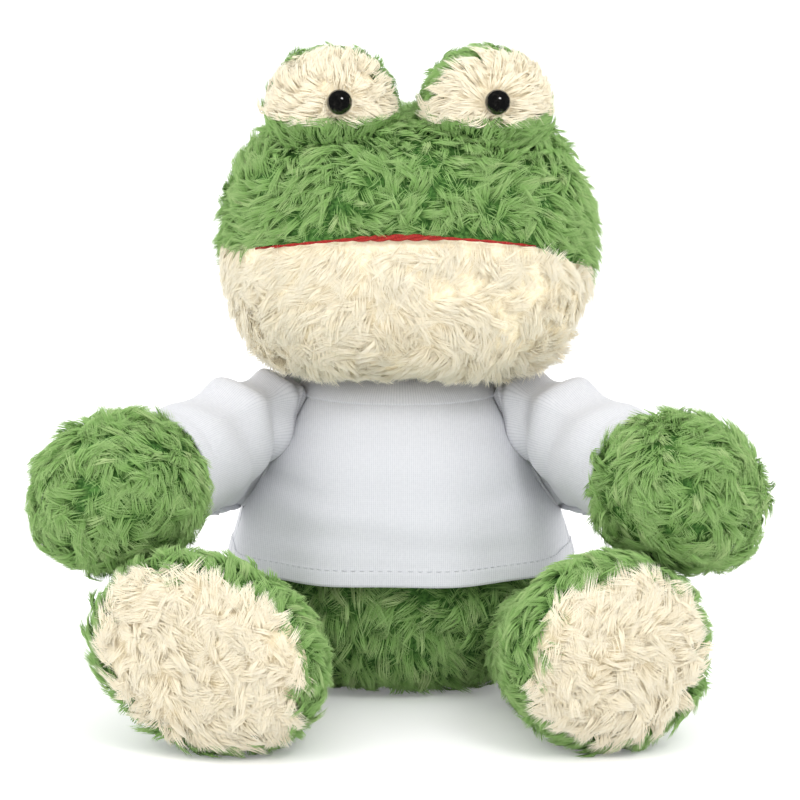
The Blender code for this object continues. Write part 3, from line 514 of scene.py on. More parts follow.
def mouthHeight(x):
    # the arch falls with the square of the distance from its middle, down to its side seams; past
    # its ends the seam climbs on the right cheek and sinks on the left one
    share = (x - mouth["shift"]) / mouth["halfLength"]
    drop = mouth["arch"] * np.minimum(share**2, mouth["mostDrop"])
    drop = drop - mouth["climb"] * np.clip(-share - 1, 0, 0.4) + mouth["sink"] * np.clip(share - 1, 0, 0.4)
    return neckZ + mouth["height"] - drop + mouth["tilt"] * np.clip(share, -1, 1)


def onForm(form, places):
    # the direction from a form's middle through each place
    return unit(places - form["middle"])


def gapTo(form, places):
    # how far each place lies outside a form
    return np.linalg.norm(places - form["middle"], axis=1) - reachAt(form, onForm(form, places))


def mouthWays(x):
    # directions in which the head's surface meets the mouth line, found by a few steps of height
    form = forms["head"]
    places = np.column_stack([x, np.full(len(x), form["middle"][1] - 0.05), mouthHeight(x)])
    for turn in range(12):
        ways = onForm(form, places)
        found = surfaceAt(form, ways)
        off = [x - found[:, 0], found[:, 1] - places[:, 1], mouthHeight(x) - found[:, 2]]
        places = places + np.column_stack(off)
    return onForm(form, places)


# pile: strands in locks that lie along the surface, their roots on the backing

def flowField(seed, count, spread, bias):
    # directions over a form: a bias, plus swirls that spin or part about seeded points
    random = np.random.default_rng(seed)
    centres = unit(random.normal(size=(count, 3)))
    spin = random.normal(0, 1, count)
    part = random.normal(0, 1, count)

    def flow(ways, places):
        toward = np.einsum("nj,kj->nk", ways, centres)
        pull = np.exp((toward - 1) / spread**2)
        radial = ways[:, None] * toward[..., None] - centres[None]
        radial = unit(radial)
        around = np.cross(ways[:, None], radial)
        swirl = spin[None, :, None] * around + 0.45 * part[None, :, None] * radial
        return (pull[..., None] * swirl).sum(1) + bias(ways, places)

    return flow


def lumps(ways, size, depth):
    # gentle lumps: three crossed waves over the directions
    waves = np.sin(size * ways[..., 0] + 1.3) + np.sin(size * 1.13 * ways[..., 1] + 0.4)
    return depth * (waves + np.sin(size * 0.91 * ways[..., 2] + 2.1)) / 3


def lockRoots(form, spacing, seed):
    # places spread evenly over the directions, thinned so that each stands for as much surface
    random = np.random.default_rng(seed)
    most = form["reach"].max()
    count = int(4 * math.pi * (most / spacing) ** 2 * 1.6)
    index = np.arange(count) + 0.5
    down = np.arccos(1 - 2 * index / count)
    turn = index * math.pi * (1 + 5**0.5)
    ways = np.stack([np.sin(down) * np.cos(turn), np.sin(down) * np.sin(turn), np.cos(down)], -1)
    ways = unit(ways + random.normal(0, 0.45 * spacing / most, ways.shape))
    normal = normalAt(form, ways)
    spread = (reachAt(form, ways) / most) ** 2 / np.maximum(np.einsum("ni,ni->n", normal, ways), 0.3)
    keep = random.random(count) < spread / 1.6 / max(1.0, (spread / 1.6).max())
    return ways[keep], normal[keep], random


def growPile(form, look, flow, region, seed, trim=None):
    # every lock is a tuft of strands with a common direction; returns strand centre lines as
    # (strands x 3 x 3), the ways that they face and run, their tones and the place of each lock
    ways, normal, random = lockRoots(form, look["spacing"], seed)
    places = surfaceAt(form, ways)
    keep = region(ways, places)
    ways, normal, places = ways[keep], normal[keep], places[keep]
    lay = flow(ways, places)
    lay = unit(lay - np.einsum("ni,ni->n", lay, normal)[:, None] * normal)
    count = len(ways)
    swing = random.normal(0, look["swing"], count)
    beside = np.cross(normal, lay)
    lay, beside = (
        np.cos(swing)[:, None] * lay + np.sin(swing)[:, None] * beside,
        np.cos(swing)[:, None] * beside - np.sin(swing)[:, None] * lay,
    )
    length = look["length"] * random.uniform(0.72, 1.25, count)
    width = look["width"] * random.uniform(0.75, 1.3, count)
    gather = random.uniform(*look["gather"], count)
    bend = random.normal(0, look["bend"], count)
    # neighbouring locks stand out together in clumps, and the tips of some flick out
    clump = lumps(ways, tau * form["reach"].max() / look["clumpSize"], 1.7 * look["clump"])
    raised = random.normal(look["raise"], look["unevenness"], count) + clump
    if "shift" in look:
        raised = raised + look["shift"](places)
    flick = look["flick"] * random.random(count) ** 2
    tone = np.clip(random.normal(look["tone"], look["toneSpread"], count), 0.05, 0.95)
    fuller = look["fuller"](places) * random.uniform(0.2, 1.6, count) if "fuller" in look else np.zeros(count)
    perLock = look["strands"]

    def spread(values):
        return np.repeat(values, perLock, axis=0)

    total = count * perLock
    across = random.uniform(-1, 1, total)
    behind = random.uniform(-1, 1, total)
    size = spread(length) * (1 - 0.3 * across**2) * random.uniform(0.75, 1.12, total)
    rise = 1 - across**2
    # a strand's tone: its lock's, a little at random, and higher at the lock's middle, which paints light on
    # the lock's crest
    lockTone = spread(tone) + random.normal(0, 0.045, total) + 0.08 * rise
    along = np.array(look["along"])
    lines = []
    for t in along:
        sideways = across * spread(width) * (1 - spread(gather) * t) + spread(bend) * spread(length) * t * t
        sideways = sideways + random.normal(0, 0.12 * mm, total) * t
        forward = behind * spread(width) * 0.8 * (1 - 0.5 * t) + size * t
        place = spread(places) + spread(beside) * sideways[:, None] + spread(lay) * forward[:, None]
        way = onForm(form, place)
        lift = -look["depth"] * (1 - t) ** look["rise"] + look["curl"] * random.normal(0, 1, total) * t**2
        bow = 0.25 + 0.75 * math.sin(math.pi * min(t, 0.8))
        lift = lift + (spread(raised) + look["crown"] * rise) * bow
        lift = lift - look["droop"] * max(t - 0.7, 0.0) / 0.3 + spread(fuller) * t + spread(flick) * t * t
        lines.append(surfaceAt(form, way, lift))
    lines = np.stack(lines, 1)
    lines[..., 2] = np.maximum(lines[..., 2], look["floor"])
    kept = np.ones(total, bool) if trim is None else trim(lines[:, -1])
    # a lock is rounded: its strands face sideways towards its edges
    facing = unit(spread(normal) + look["round"] * across[:, None] * spread(beside))
    found = {"lines": lines, "up": facing, "lay": spread(lay), "lock": spread(places)}
    found["tone"] = np.clip(lockTone, 0.03, 0.97)
    return {key: value[kept] for key, value in found.items()}


def strandMesh(name, pile, keep, look, material):
    # each strand: a root, a three-sided ring at its widest and a tip
    lines, up, lay, tone = (pile[key][keep] for key in ("lines", "up", "lay", "tone"))
    count = len(lines)
    tangent = unit(lines[:, 2] - lines[:, 0])
    side = unit(np.cross(tangent, up))
    above = np.cross(side, tangent)
    spokes = spokesAt(np.radians((90.0, 210.0, 330.0)), side[:, None], above[:, None])
    places = np.concatenate([lines[:, :1], lines[:, 1:2] + look["radius"] * spokes, lines[:, 2:]], 1)
    faces = np.array([(0, 1, 2), (0, 2, 3), (0, 3, 1), (2, 1, 4), (3, 2, 4), (1, 3, 4)])
    triangles = (np.arange(count)[:, None, None] * 5 + faces).reshape(-1, 3)
    piece = buildMesh(name, places.reshape(-1, 3), [triangles], material)
    widest = look["along"][1]
    alongs = np.array([(0, widest, widest)] * 3 + [(widest, widest, 1)] * 3)
    flat = np.empty((count, len(faces), 3, 2), np.float32)
    flat[..., 0] = tone[:, None, None] + np.array((-0.008, 0.0, 0.008))
    flat[..., 1] = alongs * 0.96 + 0.02 + np.array((0.0, 0.0, 0.004))
    setUv(piece, "OFBake", flat)
    # each strand is lit mostly like the lock that it lies in, as a mass of fine pile is, but no
    # normal turns away from its face
    own = np.concatenate([up[:, None], spokes, unit(up + 0.5 * lay)[:, None]], 1)
    normals = unit(look["soft"] * up[:, None] + (1 - look["soft"]) * own)[:, faces]
    corners = places[:, faces]
    facing = np.cross(corners[:, :, 1] - corners[:, :, 0], corners[:, :, 2] - corners[:, :, 0])
    facing = unit(facing)[:, :, None]
    short = np.clip(0.4 - (normals * facing).sum(-1, keepdims=True), 0, None)
    normals = unit(normals + short * facing).reshape(-1, 3)
    piece.data.normals_split_custom_set(normals.astype(np.float32))
    return piece


# the most strands of one piece, which keeps it under 200,000 triangles
mostStrands = 32500


def growCoat(name, form, look, flow, region, seed, material, body, trim=None):
    # the long locks, and short strands between them that lie all ways, as pieces of one body
    under = dict(look, **undercoat)
    under.update(look.get("under", {}))
    layers = [
        growPile(form, look, flow, region, seed, trim),
        growPile(form, under, lambda ways, places: acrossWays(ways)[0], region, seed + 500, trim),
    ]
    pile = {key: np.concatenate([layer[key] for layer in layers]) for key in layers[0]}
    away = pile["lock"] - pile["lock"].mean(0)
    order = np.argsort(np.arctan2(away[:, 1], away[:, 0]), kind="stable")
    parts = max(1, math.ceil(len(order) / mostStrands))
    for index, chunk in enumerate(np.array_split(order, parts)):
        label = name if parts == 1 else f"{name}_{index + 1}"
        dress(strandMesh(label, pile, chunk, look, material), body)
    print(name, len(order), "strands in", parts, "pieces")


longPile = {
    "spacing": 2.78 * mm, "strands": 17, "length": 7.8 * mm, "width": 1.35 * mm, "gather": (-0.25, 0.6),
    "bend": 0.2, "raise": -1.15 * mm, "unevenness": 0.65 * mm, "crown": 0.8 * mm, "tone": 0.5,
    "toneSpread": 0.14, "swing": 0.42, "depth": 3.3 * mm, "rise": 1.9, "curl": 0.3 * mm, "droop": 0.2 * mm,
    "floor": 0.3 * mm, "along": (0.0, 0.5, 1.0), "radius": 0.136 * mm, "round": 0.7, "soft": 0.92,
    "clump": 0.6 * mm, "clumpSize": 15 * mm, "flick": 2.8 * mm,
}
# short strands between the locks; their lower tone paints them a little darker, as shade deep in the coat
undercoat = {
    "spacing": 3.06 * mm, "strands": 5, "length": 5.5 * mm, "width": 1.3 * mm, "swing": 2.5,
    "raise": -1.9 * mm, "unevenness": 0.3 * mm, "crown": 0.0, "tone": 0.35, "round": 0.2,
    "gather": (-0.8, 0.2), "flick": 0.6 * mm,
}

# head: green above the mouth, cream below it, with no pile where the mounds and the neck join it

chinPile = {
    "length": 8.4 * mm, "width": 1.9 * mm, "raise": -1.0 * mm, "gather": (-0.3, 0.5), "round": 0.3,
    "toneSpread": 0.08, "radius": 0.135 * mm, "unevenness": 0.45 * mm, "crown": 0.6 * mm, "strands": 21,
    "clump": 0.5 * mm, "flick": 2.0 * mm, "under": {"raise": -1.5 * mm, "strands": 7, "tone": 0.55},
}
# how much more or less the pile stands out at the chin: each place as its height and its spread
chin = {
    "fuller": 2.8 * mm, "edge": (3 * mm, 8 * mm), "cheek": (12 * mm, 20 * mm), "back": 0.4 * mm,
    "under": 1.0 * mm, "underAt": (-2 * mm, 7 * mm), "underHalf": 35 * mm,
    "corner": 1.6 * mm, "cornerAt": (12 * mm, 11 * mm), "cornerRun": (25 * mm, 18 * mm),
}
moundFoot = {"hidden": 3.5 * mm, "rise": 2.4 * mm, "spread": 4.5 * mm}
neckHole = {"height": 6 * mm, "radius": 22 * mm}


def seamOffset(places):
    # height above the mouth line, measured along Z
    return places[:, 2] - mouthHeight(places[:, 0])


def isChin(places):
    return (seamOffset(places) < 0) & (places[:, 1] < seatY + mouth["chinBack"])


def headBias(ways, places):
    # the crown's pile falls outwards and down, and lies away from the mouth on both sides
    above = seamOffset(places)
    near = bell(above, 0, 6 * mm) * np.clip(-ways[:, 1] * 2, 0, 1)
    bias = np.zeros_like(ways)
    bias[:, 2] = -0.3 + near * np.where(above > 0, 0.3, -1.1)
    bias[:, 0] = 0.25 * ways[:, 0] - 0.3 * near
    return bias


def moundGap(places):
    return np.min([gapTo(forms["mound_" + side], places) for side in sides], 0)


def raisedAtMounds(places):
    # the head's pile rises round the feet of the mounds, so that no crease shows there
    return moundFoot["rise"] * bell(np.clip(moundGap(places), 0, None), 0, moundFoot["spread"])


def inFront(places, more=0.0):
    # along the shown part of the mouth
    along = np.abs(places[:, 0] - mouth["shift"]) < mouth["halfLength"] + more
    return along & (places[:, 1] < seatY - mouth["front"])


def headRegion(places):
    parted = inFront(places, 1 * mm) & (np.abs(seamOffset(places)) < mouth["parting"])
    away = np.hypot(places[:, 0], places[:, 1] - seatY)
    neck = (places[:, 2] < neckZ + neckHole["height"]) & (away < neckHole["radius"])
    return ~parted & (moundGap(places) >= -moundFoot["hidden"]) & ~neck


def chinFuller(places):
    # the lower edge hangs fuller at the cheeks than in its middle
    (start, run), (height, spread) = chin["cheek"], chin["edge"]
    cheeks = np.clip((np.abs(places[:, 0]) - start) / run, 0.1, 1)
    return chin["fuller"] * cheeks * bell(places[:, 2], neckZ + height, spread)


def chinShift(places):
    # the chin is drawn in a little under its middle, and at its left lower corner
    x, z = places[:, 0], places[:, 2] - neckZ
    under = bell(z, *chin["underAt"]) * (np.abs(x) < chin["underHalf"])
    start, run = chin["cornerRun"]
    corner = bell(z, *chin["cornerAt"]) * np.clip((x - start) / run, 0, 1)
    return -chin["back"] - chin["under"] * under - chin["corner"] * corner


def growHead():
    form = forms["head"]
    flow = flowField(11, 90, 0.19, headBias)

    def green(ways, places):
        return headRegion(places) & ~isChin(places)

    def cream(ways, places):
        return headRegion(places) & isChin(places)

    def offMouth(sign):
        # no tip lies across the shown part of the cord
        return lambda tips: ~(inFront(tips) & (sign * seamOffset(tips) < mouth["clear"] * sign))

    look = dict(longPile, **{"raise": -1.7 * mm, "shift": raisedAtMounds})
    growCoat("head_pile", form, look, flow, green, 21, greenPile, "head", offMouth(1))
    look = dict(longPile, **chinPile, fuller=chinFuller, shift=chinShift)
    growCoat("chin_pile", form, look, flow, cream, 22, creamPile, "head", offMouth(-1))


growHead()

# mouth cord: two strands twisted together along the mouth line

def buildMouthCord():
    share = np.linspace(-1, 1, 320)
    ways = mouthWays(mouth["shift"] + mouth["halfLength"] * share)
    line = surfaceAt(forms["head"], ways, -mouth["sunk"] - mouth["endSunk"] * share**6)
    tangent = unit(np.gradient(line, axis=0))
    out = unit(ways - np.einsum("ni,ni->n", ways, tangent)[:, None] * tangent)
    up = np.cross(tangent, out)
    # thickest near the middle, thinnest at the ends
    thick = mouth["strand"] * (0.44 + 0.62 * np.exp(-((share - 0.02) / 0.3) ** 4)) * (1 - 0.3 * share**8)
    spokes = spokesAt(np.linspace(0, tau, 10, endpoint=False), up[:, None], out[:, None])
    twist = tau * lengthAlong(line) / mouth["lay"]
    for index, start in enumerate((0.0, math.pi)):
        middle = line + spokesAt(start + twist, up, out) * (0.75 * thick)[:, None]
        rings = middle[:, None] + spokes * thick[:, None, None]
        cord = ringedSurface("mouth_cord_strand_" + str(index + 1), rings, redCord)
        dress(cord, "head", *(["mouth_cord"] if index == 0 else []))


buildMouthCord()

# eye mounds and eyes

eye = {
    "turnDeg": {"left": 10.0, "right": 8.5}, "liftDeg": 13.0, "diameter": 7.7 * mm, "dome": 4.3 * mm,
    "out": 0.5 * mm, "solidDome": 4.2 * mm, "solidCap": 1.5 * mm, "side": 0.8 * mm, "below": 0.2 * mm,
    "shank": 1.1 * mm, "ridge": 1.4 * mm, "ridges": 6, "pitch": 1.9 * mm, "firstRidge": -11.6 * mm,
    "tip": [(0.8 * mm, -12.4 * mm), (1.1 * mm, -12.2 * mm)],
}


def eyeAim(side):
    return turnedWay(eye["turnDeg"][side], eye["liftDeg"])


def eyeSeat(side):
    # the plane that the dome sits on, from the frame's own eye: its farthest point less the dome
    mesh = nodeTriangles(["eye_" + side]).reshape(-1, 3)
    aim = eyeAim(side)
    middle = (mesh.min(0) + mesh.max(0)) / 2
    ahead = (mesh - middle) @ aim
    axis = mesh[ahead > ahead.max() - eye["solidCap"]].mean(0)
    return axis + aim * (ahead.max() - (axis - middle) @ aim - eye["solidDome"])


def buildEye(side):
    # a ridged shank, a plain rim and a dome that is a quarter of an oval, turned about the eye's aim
    aim = eyeAim(side)
    radius = eye["diameter"] / 2
    profile = list(eye["tip"])
    for low in eye["firstRidge"] + eye["pitch"] * np.arange(eye["ridges"]):
        profile += [(eye["shank"], low), (eye["ridge"], low + 0.5 * mm), (eye["shank"], low + 1.0 * mm)]
    profile += [(eye["shank"] + 0.05 * mm, -eye["below"]), (radius * 0.5, -eye["below"])]
    profile += [(radius * 0.97, -0.15 * mm), (radius, 0.25 * mm), (radius, 0.7 * mm)]
    climb = np.linspace(0, math.pi / 2, 15)[:-1]
    heights = eye["side"] + (eye["dome"] - eye["side"]) * np.sin(climb)
    profile = np.concatenate([profile, np.column_stack([radius * np.cos(climb), heights])])
    seat = eyeSeat(side) + aim * eye["out"]
    piece = turnedSurface("safety_eye_" + side, profile, seat, aim, 48, blackPlastic)
    dress(piece, "head", "eye_" + side)


moundSeam = {
    "turnDeg": {"left": 34.0, "right": -12.0}, "tiltDeg": {"left": 26.0, "right": 22.0},
    "setback": 1.5 * mm, "foot": 79 * mm,
}
moundPile = dict(longPile, **{
    "length": 7.5 * mm, "swing": 0.25, "bend": 0.12, "depth": 3.0 * mm, "rise": 3.2, "raise": -0.7 * mm,
    "gather": (-0.3, 0.45), "round": 0.25, "spacing": 2.3 * mm, "clump": 0.4 * mm, "flick": 2.2 * mm,
    "tone": 0.3, "toneSpread": 0.06, "strands": 16, "width": 1.6 * mm,
    "under": {"raise": -1.4 * mm, "strands": 7, "tone": 0.5},
})
footLine = neckZ + moundSeam["foot"]


def isMoundFront(side, places, foot=footLine):
    # above the foot and in front of the seam plane, which is turned and tilted at the mound's middle
    back = turnedWay(moundSeam["turnDeg"][side], moundSeam["tiltDeg"][side]) * (-1, -1, 1)
    front = (places - forms["mound_" + side]["middle"]) @ back < moundSeam["setback"]
    return front & (places[:, 2] > foot)


def growMound(side):
    form = forms["mound_" + side]
    aim = eyeAim(side)
    seat = eyeSeat(side)

    def bias(ways, places):
        # the front's pile radiates from the eye, the back's lies backwards, the foot's lies up
        radial = squareTo(places - seat, aim)
        height = places[:, 2] - footLine
        radial[:, 2] *= np.where(radial[:, 2] < 0, np.clip(height / (7 * mm), 0.1, 1), 1.0)
        foot = np.clip(-height / (4 * mm), 0, 1)[:, None]
        upper = 2.6 * unit(radial) + np.array((0.0, 0.25, 0.15))
        return upper * (1 - foot) + foot * np.array((0.0, 0.0, 1.6))

    def above(places):
        return gapTo(forms["head"], places) > -3 * mm

    def shown(places):
        # above the head, and clear of the eye
        off = places - seat
        away = np.linalg.norm(squareTo(off, aim), axis=1)
        return above(places) & ((away > 2.2 * mm) | (off @ aim < -8 * mm))

    def creamTip(tips):
        return tips[:, 2] > footLine - 1.5 * mm

    def greenTip(tips):
        overFront = isMoundFront(side, tips, footLine + 3 * mm) & (tips[:, 1] < seat[1] + 9 * mm)
        return above(tips) & ~overFront

    def front(ways, places):
        return shown(places) & isMoundFront(side, places)

    def back(ways, places):
        return shown(places) & ~isMoundFront(side, places)

    flow = flowField(41 if side == "left" else 43, 14, 0.5, bias)
    growCoat("mound_front_pile_" + side, form, moundPile, flow, front, 51, creamPile, "head", creamTip)
    growCoat("mound_back_pile_" + side, form, moundPile, flow, back, 52, greenPile, "head", greenTip)


for side in sides:
    buildEye(side)
    growMound(side)
print("eye mounds done")

# torso, paws and feet

torsoPile = dict(longPile, **{
    "raise": -1.6 * mm, "spacing": 3.9 * mm, "width": 2.0 * mm, "tone": 0.45, "toneSpread": 0.22,
    "unevenness": 1.0 * mm, "clump": 0.9 * mm, "length": 9 * mm,
})
pawPile = dict(longPile, **{
    "length": 8.8 * mm, "width": 1.9 * mm, "bend": 0.26, "clump": 0.9 * mm, "clumpSize": 13 * mm,
    "raise": -1.3 * mm,
})
legPile = dict(longPile, **{"spacing": 2.95 * mm, "length": 8.2 * mm, "width": 1.55 * mm})
solePile = dict(longPile, **dict(chinPile, **{
    "length": 7.6 * mm, "raise": -0.5 * mm, "crown": 0.7 * mm, "strands": 26, "spacing": 2.4 * mm,
    "radius": 0.12 * mm, "swing": 0.8, "width": 2.0 * mm, "bend": 0.3, "gather": (-0.4, 0.5),
    "toneSpread": 0.06, "clumpSize": 12 * mm,
}))


def growTorso():
    hem = float(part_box("shirt_front")[0].z)

    def region(ways, places):
        # up to just above the hem, and clear of the legs
        gap = np.min([gapTo(forms["leg_" + side], places) for side in sides], 0)
        return (places[:, 2] < hem + 6 * mm) & (gap > -4 * mm)

    flow = flowField(71, 60, 0.2, lambda ways, places: np.array((0.0, 0.0, -0.4)) + 0.0 * ways)
    growCoat("torso_pile", forms["torso"], torsoPile, flow, region, 61, greenPile, "torso")


def growPaw(side):
    form = forms["paw_" + side]
    wayOut = unit(form["middle"] - pivotOf("arm_lift_" + side))

    def bias(ways, places):
        # the pile falls from the wrist forwards, and a little down
        return 0.35 * wayOut + np.array((0.0, 0.0, -0.2)) + 0.0 * ways

    def shift(places):
        # the paw hangs fuller at its outer lower edge
        toward = onForm(form, places) @ unit(np.array((sides[side], 0.0, -1.0)))
        return 3.6 * mm * np.exp((toward - 1) / 0.12)

    def region(ways, places):
        return ways @ wayOut > -0.9

    look = dict(pawPile, shift=shift)
    flow = flowField(81 if side == "left" else 97, 60, 0.26, bias)
    seed = 91 if side == "left" else 93
    growCoat("paw_pile_" + side, form, look, flow, region, seed, greenPile, "arm_" + side)


def readSole(side):
    # the oval of the cream panel: its middle, the way it faces and its two half sizes
    points = nodeTriangles(["sole_" + side]).reshape(-1, 3)
    middle = (points.min(0) + points.max(0)) / 2
    aim = unit((middle - pivotOf("leg_drop_" + side)) * np.array((1.0, 1.0, 0.0)))
    flat = squareTo(points - middle, aim)
    axes = np.linalg.eigh(flat.T @ flat / len(flat))[1][:, 1:]
    return {"middle": middle, "aim": aim, "axes": axes, "halves": np.abs(flat @ axes).max(0)}


soles = {side: readSole(side) for side in sides}


def soleShare(side, places):
    # 1 at the panel's edge, less inside; far behind the foot's front it counts as outside
    sole = soles[side]
    off = places - sole["middle"]
    share = np.sqrt((((off @ sole["axes"]) / sole["halves"]) ** 2).sum(1))
    return np.where(off @ sole["aim"] < -12 * mm, 2.0, share)


def growLeg(side):
    form = forms["leg_" + side]
    sole = soles[side]

    def bias(ways, places):
        # outside the sole the pile lies away from it, inside it is swirled only
        off = places - sole["middle"]
        back = np.clip(-off @ sole["aim"] / (12 * mm), 0, 1)[:, None]
        outwards = np.clip((soleShare(side, places) - 0.6) * 1.6, 0, 0.5)[:, None]
        return unit(squareTo(off, sole["aim"])) * outwards - 0.6 * back * sole["aim"]

    def inSole(places):
        # the cream ends unevenly, and a little earlier at the top of its inner side
        off = unit(places - sole["middle"])
        inner = np.clip(0.7 * off[:, 2] - 0.7 * sides[side] * off[:, 0] - 0.2, 0, 1)
        return soleShare(side, places) <= 0.97 - 0.16 * inner + lumps(off, 9.0, 0.05)

    def green(ways, places):
        return (gapTo(forms["torso"], places) > -1 * mm) & ~inSole(places)

    def cream(ways, places):
        return inSole(places)

    flow = flowField(111 if side == "left" else 113, 60, 0.24, bias)
    growCoat("leg_pile_" + side, form, legPile, flow, green, 121, greenPile, "leg_" + side)
    growCoat("sole_pile_" + side, form, solePile, flow, cream, 123, creamPile, "leg_" + side)


growTorso()
for side in sides:
    growPaw(side)
    growLeg(side)
print("pile done")

# skins under the pile, and what they hold

skin = {
    "depth": 3.5 * mm, "step": 0.8 * mm, "rows": 41, "columns": 64, "fill": 7.5 * mm, "moundFill": 6.5 * mm,
    "lump": 0.4 * mm, "fillLump": 0.8 * mm, "lumpScale": 9.0, "floor": 0.6 * mm,
}


def skinSurface(name, replaced, form, depth, material, body, lump, fill):
    # closed surface a depth below the pile's outer form; depth may be an array over the grid
    ways = gridWays(skin["rows"], skin["columns"])[1:-1]
    places = surfaceAt(form, ways, lumps(ways, skin["lumpScale"], lump) - depth)
    places[..., 2] = np.maximum(places[..., 2], skin["floor"])
    dress(ringedSurface(name, places, material), body, replaced)


def panelDepth(form, inside):
    # proud inside the panel and tucked below the neighbouring skin outside it, with a slope between
    # them that follows the seam: the share of finer points round each grid point that lie inside
    fine = 4
    ways = gridWays((skin["rows"] - 1) * fine + 1, skin["columns"] * fine)
    within = inside(surfaceAt(form, ways).reshape(-1, 3)).reshape(ways.shape[:2]).astype(float)
    within = sum(np.roll(within, turn - fine // 2, 1) for turn in range(fine + 1)) / (fine + 1)
    edged = np.pad(within, ((fine // 2, fine // 2), (0, 0)), "edge")
    within = sum(edged[row : row + len(within)] for row in range(fine + 1)) / (fine + 1)
    return skin["depth"] + skin["step"] * (1 - 2 * within[::fine, ::fine][1:-1])


def buildSkin(
    name, body, ground, filling, panel=None, inside=None, deep=skin["fill"], lump=skin["fillLump"], fill=0.8
):
    # a green backing, a cream panel where the form has one, and the stuffing; each is given as its
    # name and the solid that it stands for
    form = forms[name]
    skinSurface(*ground, form, skin["depth"], greenBacking, body, skin["lump"], 0.8)
    if panel:
        skinSurface(*panel, form, panelDepth(form, inside), creamBacking, body, skin["lump"], 0.8)
    skinSurface(*filling, form, deep, fibreFill, body, lump, fill)


def buildSkins():
    buildSkin(
        "head", "head", ("head_ground", "head_skin"), ("head_filling", "head_stuffing"),
        ("chin_ground", "chin_skin"), isChin, fill=0.85,
    )
    buildSkin("torso", "torso", ("torso_ground", "torso_skin"), ("torso_filling", "torso_stuffing"))
    for side in sides:
        names = [(ours + side, theirs + side) for ours, theirs in (
            ("mound_ground_", "eye_mound_back_"), ("mound_filling_", "eye_mound_stuffing_"),
            ("mound_front_ground_", "eye_mound_front_"), ("paw_ground_", "arm_skin_"),
            ("paw_filling_", "arm_stuffing_"), ("leg_ground_", "leg_skin_"),
            ("leg_filling_", "leg_stuffing_"), ("sole_ground_", "sole_"),
        )]

        def inFront(places):
            return isMoundFront(side, places, footLine + 1 * mm)

        def inSole(places):
            return soleShare(side, places) < 0.96

        buildSkin("mound_" + side, "head", *names[:3], inFront, skin["moundFill"], skin["lump"])
        buildSkin("paw_" + side, "arm_" + side, *names[3:5])
        buildSkin("leg_" + side, "leg_" + side, *names[5:], inSole)


sack = {"pucker": 0.02, "puckers": 22, "dent": 0.01, "rim": 0.12, "size": 0.98, "fill": 0.7}


def buildBag():
    # the sack of granulate: a squat oval, puckered towards its sewn rim
    low, high = (np.array(corner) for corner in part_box("bean_bag"))
    ways = gridWays(25, 48)[1:-1]
    turn = np.arctan2(ways[..., 1], ways[..., 0])
    pucker = sack["pucker"] * bell(ways[..., 2], 0, sack["rim"]) * (1 + np.cos(sack["puckers"] * turn))
    size = sack["size"] * (1 - pucker + sack["dent"] * np.sin(5 * turn + 3 * ways[..., 2]))
    places = (low + high) / 2 + ways * (high - low) / 2 * size[..., None]
    bag = ringedSurface("granulate_bag", places, sackCloth)
    dress(bag, "torso", "bean_bag")


forearm = {
    "from": -9 * mm, "past": 4 * mm, "shares": (0, 0.12, 0.3, 0.6, 0.8, 1), "radii": (3, 5, 5.5, 8, 11, 12),
    "fill": 0.75,
}


def buildForearm(side):
    # plush tube from the shoulder into the paw, hidden by the sleeve
    pivot = pivotOf("arm_lift_" + side)
    away = forms["paw_" + side]["middle"] - pivot
    share = np.linspace(0, 1, 24)
    along = forearm["from"] + share * (np.linalg.norm(away) + forearm["past"])
    radius = np.interp(share, forearm["shares"], np.array(forearm["radii"]) * mm)
    profile = np.column_stack([radius, along])
    piece = turnedSurface("forearm_" + side, profile, pivot, unit(away), 32, greenBacking)
    dress(piece, "arm_" + side)


buildSkins()
buildBag()
for side in sides:
    buildForearm(side)
    washer = frame["nodes"]["eye_washer_" + side].data.materials
    washer.clear()
    washer.append(greyPlastic)
print("skins done")

# T-shirt

shirt = {
    "cloth": 0.9 * mm, "neckEase": 2.2 * mm, "hemEase": 6.0 * mm, "length": 60.5 * mm, "neckDrop": 0.6 * mm,
    "band": 6.8 * mm, "raglanNeck": 28.5 * mm, "armpitDrop": 45 * mm, "square": 2.15, "waves": 9,
    "waveDepth": 1.1 * mm, "hemStrip": 4.8 * mm, "rows": 64, "columns": 110, "turnIn": 1.9 * mm,
    "doubled": 0.35 * mm, "edgeDip": 0.4 * mm, "topDip": 0.3 * mm, "topDipWidth": 0.9 * mm,
}
# soft rolls of the front in mm: the place across and the height, then slope, reach, width and depth
frontFolds = (
    (-30, 79, 0.10, 20, 3.0, -0.55), (-36, 66, -0.22, 16, 3.6, -0.9), (34, 64, 0.2, 16, 3.6, -0.8),
    (-22, 60, -0.10, 24, 4.0, 0.55), (20, 58, 0.12, 26, 4.5, 0.5), (-30, 52, 0.05, 20, 3.4, -0.7),
    (14, 49, -0.04, 30, 3.2, -0.45), (34, 53, 0.1, 14, 3.5, 0.45), (8, 72, 0.05, 30, 6.0, 0.4),
    (26, 82, -0.3, 12, 3.4, -0.4),
)
torsoTop = float(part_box("torso_skin")[1].z)
neckTop = torsoTop - shirt["neckDrop"]
bandLow = neckTop - shirt["band"]
shirtHem = neckTop - shirt["length"]
armpitZ = torsoTop - shirt["armpitDrop"]


def torsoProfile():
    # half width and half depth of the torso by height, read where its form crosses two planes
    down = np.linspace(0.05, math.pi - 0.4, 200)
    wide = surfaceAt(forms["torso"], np.column_stack([np.sin(down), 0 * down, np.cos(down)]))
    deep = surfaceAt(forms["torso"], np.column_stack([0 * down, -np.sin(down), np.cos(down)]))
    return wide[::-1], deep[::-1]


wideLine, deepLine = torsoProfile()


